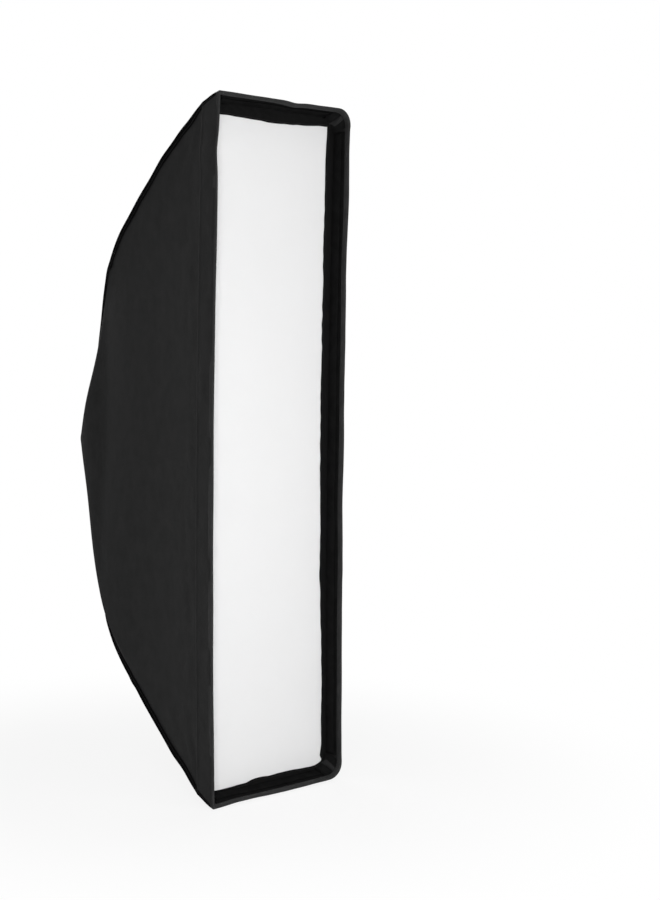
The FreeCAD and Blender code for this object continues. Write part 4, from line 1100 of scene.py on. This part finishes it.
def make_seams():
    """A folded binding over each corner, which runs on along the lip's corner and fades into the hem.
    Gives the lines that its stitches follow."""
    s = np.linspace(0.006, SEAM_LENGTH - 0.002, 130)
    lines = []
    for label, sx, sz in CORNERS:
        path = corner_path(s, sx, sz)
        along = np.concatenate([s[:-1], SEAM_LENGTH + 0.0046 * np.arange(LIP_STEPS)])
        inward = np.array([0.0, 0.0, -float(sz)])
        normal = unit(np.cross(unit(np.gradient(path, axis=0)), inward))
        normal *= np.sign(normal[:, :1] * sx + 1e-9)
        across = unit(np.cross(normal, unit(np.gradient(path, axis=0))))
        across *= np.sign((across * inward).sum(axis=-1, keepdims=True))
        # the leg is wide along the bow, narrow behind the shoulder and on the lip
        fade = smooth(along, SEAM_LENGTH - 0.055, SEAM_LENGTH + 0.030)
        width = 0.0045 + 0.0042 * smooth(along, 0.283, 0.291) + 0.0020 * hump(along, 0.294, 0.006)
        width *= 1 - (0.50 if sx < 0 else 0.75) * fade
        width += 0.0005 * ripples(along, 0 * along, 0.018, 81 + sx + 2 * sz, 10)
        swell = (0.0015 + 0.0004 * smooth(along, 0.40, 0.54)) * (1 - 0.55 * fade)
        swell += 0.00025 * ripples(along, 0 * along, 0.05, 85 + sx + 2 * sz, 8)
        lines.append((path + across * (width * 0.62)[:, None] + normal * 0.0011, normal))
        profile = np.array([binding_profile(w, r) for w, r in zip(width, swell)])
        piece = swept(f"corner_seam_{label}_binding", path, across, normal, profile)
        dress(piece, "softbox", binding, [f"corner_seam_{label}"])
    return lines


# ---- rear collar, pockets, baffle, straps -------------------------------------------------------------

def make_collar():
    """Elastic band gathered round the ring: small folds all the way round."""
    low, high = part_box("rear_collar")
    t = np.linspace(0, 2 * math.pi, 420, endpoint=False)
    rows = []
    for share in np.linspace(0, 1, 15):
        y = high.y + (low.y - high.y) * share
        belly = math.sin(math.pi * share)
        fold = 0.00028 * np.sin(t * 84 + 0.7 * np.sin(5 * t)) * (0.35 + 0.65 * belly)
        radius = high.x - 0.0002 + 0.0003 * belly + fold
        rows.append(np.stack([radius * np.cos(t), np.full(len(t), y), radius * np.sin(t)], -1))
    grid = np.array(rows)
    band = cloth("rear_collar_band", grid, ELASTIC_CLOTH, grid * TOWARDS_AXIS, around=True)
    dress(band, "softbox", elastic, ["rear_collar"])


def make_pockets():
    """Webbing pockets that take the rod tips, sewn flat at their mouth and round at their end."""
    length, radius = 0.026, 0.0062
    t = np.linspace(-0.5, 0.5, 16)
    turn = np.linspace(0, 2 * math.pi, 28, endpoint=False)
    profile = []
    for share in t + 0.5:
        close = math.sqrt(max(0.0, 1 - max(0.0, (share - 0.72) / 0.30) ** 2))
        wide = radius * (1 + 0.10 * (1 - share)) * close * (1 + 0.05 * hump(share, 0.1, 0.06))
        profile.append(np.stack([wide * np.cos(turn), radius * close * np.sin(turn)], -1))
    for label, sx, sz in CORNERS:
        low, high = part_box(f"corner_pocket_{label}")
        ahead = shade_strip(SEAM_LENGTH)[1] * np.array([sx, 1, sz])
        path = np.array((low + high) / 2) + ahead * (t * length)[:, None]
        side, up = frames_along(path, BACKWARD)
        piece = swept(f"corner_pocket_{label}_webbing", path, side, up, np.array(profile))
        dress(piece, "softbox", webbing, [f"corner_pocket_{label}"])


def make_baffle():
    """The inner baffle's white cloth, pulled in between its corners, and the tape bound round it."""
    low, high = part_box("inner_baffle")
    half_x, half_z = high.x, high.z
    x = np.linspace(-half_x, half_x, 26)[None, :]
    z = np.linspace(-half_z, half_z, 84)[:, None]
    grid = np.zeros((84, 26, 3))
    grid[..., 0] = x * (1 - 0.0035 * arch(z, half_z) / half_x)
    grid[..., 2] = z * (1 - 0.0020 * arch(x, half_x) / half_z)
    middle = arch(x, half_x) * arch(z, half_z)
    grid[..., 1] = low.y + 0.0045 * middle + 0.0012 * ripples(x + 0 * z, z, 0.10, 91) * np.sqrt(middle)
    sheet = cloth("inner_baffle_cloth", grid, WHITE_CLOTH, BACKWARD)
    dress(sheet, "softbox", baffle_white, ["inner_baffle"])
    edge = np.concatenate([grid[0, :-1], grid[:-1, -1], grid[-1, :0:-1], grid[:0:-1, 0]])
    inward = unit(np.cross(unit(np.roll(edge, -1, 0) - np.roll(edge, 1, 0)), BACKWARD))
    inward *= -np.sign((inward * edge).sum(axis=-1, keepdims=True))
    profile = rounded_profile((-0.0010, -0.0012), (0.0095, 0.0018), 0.0011, 3)
    tape = swept("baffle_binding_tape", edge, inward, BACKWARD, profile, around=True)
    dress(tape, "softbox", baffle_tape, ["baffle_binding"])


def make_straps():
    """Elastic straps from the baffle's snaps to loops round the rods."""
    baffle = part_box("inner_baffle")[1]
    y = baffle.y + 0.0007
    hang = rod_at_depth(y)
    loop_radius = 0.0038
    profile = rounded_profile((-0.0068, -0.0005), (0.0068, 0.0005), 0.00045, 2)
    for label, sx, sz in CORNERS:
        corner = np.array([sx * baffle.x, y, sz * baffle.z])
        target = np.array([sx * hang[0], y, sz * hang[2]])
        pull = unit(target - corner)
        span = np.linalg.norm(target - corner)
        steps = [-0.019, -0.010, 0.0] + [span * k / 5 for k in range(1, 5)]
        path = [corner + pull * along for along in steps]
        for a in np.radians(np.linspace(200, 540, 20)):
            path.append(target + (pull * math.cos(a) + BACKWARD * math.sin(a)) * loop_radius)
        path = np.array(path)
        side = unit(np.cross(pull, BACKWARD))
        up = unit(np.cross(side, unit(np.gradient(path, axis=0))))
        piece = swept(f"baffle_strap_{label}_elastic", path, side, up, profile)
        dress(piece, "softbox", strap_elastic, [f"baffle_strap_{label}"])


def rod_at_depth(y):
    """Where the upper right rod's axis passes a depth."""
    point = shade_strip(np.linspace(LEG, SEAM_LENGTH, 400))[0] + ROD_SHIFT
    return point[np.argmin(np.abs(point[:, 1] - y))]


# ---- camera, light, floor --------------------------------------------------------------------

def make_camera():
    """A camera to the left of the opening and a little above it, turned a little about its own axis."""
    turn, tilt, roll = math.radians(-43.94), math.radians(4.03), math.radians(0.74)
    back = Vector((math.sin(turn) * math.cos(tilt), -math.cos(turn) * math.cos(tilt), math.sin(tilt)))
    right = (-back).cross(Vector((0, 0, 1))).normalized()
    up = right.cross(-back)
    side = right * math.cos(roll) + up * math.sin(roll)
    top = up * math.cos(roll) - right * math.sin(roll)
    data = bpy.data.cameras.new("camera")
    data.sensor_width = 36
    data.lens = 65.72
    camera = bpy.data.objects.new("camera", data)
    camera.matrix_world = Matrix((side, top, back)).transposed().to_4x4()
    camera.location = Vector((0.1118, -0.491, -0.0022)) + back * 2.923
    bpy.context.scene.collection.objects.link(camera)
    bpy.context.scene.camera = camera


def lamp(name, place, aim, width, height, power):
    """A soft rectangular lamp at a place, turned to its aim."""
    data = bpy.data.lights.new(name, "AREA")
    data.shape = "RECTANGLE"
    data.size, data.size_y = width, height
    data.energy = power
    obj = bpy.data.objects.new(name, data)
    obj.location = place
    obj.rotation_mode = "QUATERNION"
    obj.rotation_quaternion = (Vector(aim) - Vector(place)).to_track_quat("-Z", "Y")
    bpy.context.scene.collection.objects.link(obj)


def make_surround():
    """A surround that is white to see and gives little light."""
    world = bpy.data.worlds.new("studio")
    bpy.context.scene.world = world
    world.use_nodes = True
    n = Nodes(world.node_tree)
    soft = n.tree.nodes["Background"]
    soft.inputs["Color"].default_value = (1, 1, 1, 1)
    soft.inputs["Strength"].default_value = 0.18
    white = n.new("Background", Color=(1, 1, 1, 1), Strength=1.0)
    n.surface("World Output", n.seen_directly(), soft, white)


def floor_white():
    """White that keeps the shadow near the object and turns plain further out."""
    material = bpy.data.materials.new("floor_white")
    material.use_nodes = True
    n = Nodes(material.node_tree)
    shader = n.tree.nodes["Principled BSDF"]
    shader.inputs["Base Color"].default_value = (0.92, 0.92, 0.92, 1)
    shader.inputs["Roughness"].default_value = 0.9
    shader.inputs["Specular IOR Level"].default_value = 0.0
    reach = n.new("VectorMath", operation="LENGTH", Vector=n.coordinates("Object")).outputs["Value"]
    fade = n.new("MapRange", interpolation_type="SMOOTHSTEP", Value=reach, From_Min=0.30, From_Max=0.95,
                 To_Min=0.86, To_Max=1.0).outputs["Result"]
    share = n.math("MULTIPLY", n.seen_directly(), fade)
    n.surface("Material Output", share, shader, n.new("Emission", Strength=1.0))
    return material


def make_floor():
    """A wide floor just under the lower edge's sag."""
    mesh = bpy.data.meshes.new("floor")
    half = 30.0
    corners = [(-half, -half, 0), (half, -half, 0), (half, half, 0), (-half, half, 0)]
    mesh.from_pydata(corners, [], [(0, 1, 2, 3)])
    mesh.materials.append(floor_white())
    floor = bpy.data.objects.new("floor", mesh)
    floor.location = (0.0, -0.25, -HALF_H - SAG - 0.002)
    bpy.context.scene.collection.objects.link(floor)


def make_studio():
    """Surround, lamps and floor."""
    make_surround()
    lamp("key", (-0.94, -1.42, 0.05), (-0.14, -0.42, -0.10), 0.5, 1.25, 10.0)
    lamp("front", (0.65, -2.9, 0.0), (0.0, -0.45, -0.08), 1.4, 2.3, 30)
    lamp("top", (0.1, -1.6, 2.3), (0.0, -0.4, -0.5), 1.2, 1.2, 5)
    lamp("rear", (0.95, 2.2, 1.2), (0.0, -0.1, 0.0), 2.0, 1.5, 36)
    make_floor()
    bpy.context.scene.view_settings.view_transform = "Standard"


# ---- everything ------------------------------------------------------------------------------

make_camera()
make_studio()
finish_hardware()
make_panels()
make_lip()
make_tapes()
make_diffuser()
make_stitching(make_seams())
make_collar()
make_pockets()
make_baffle()
make_straps()
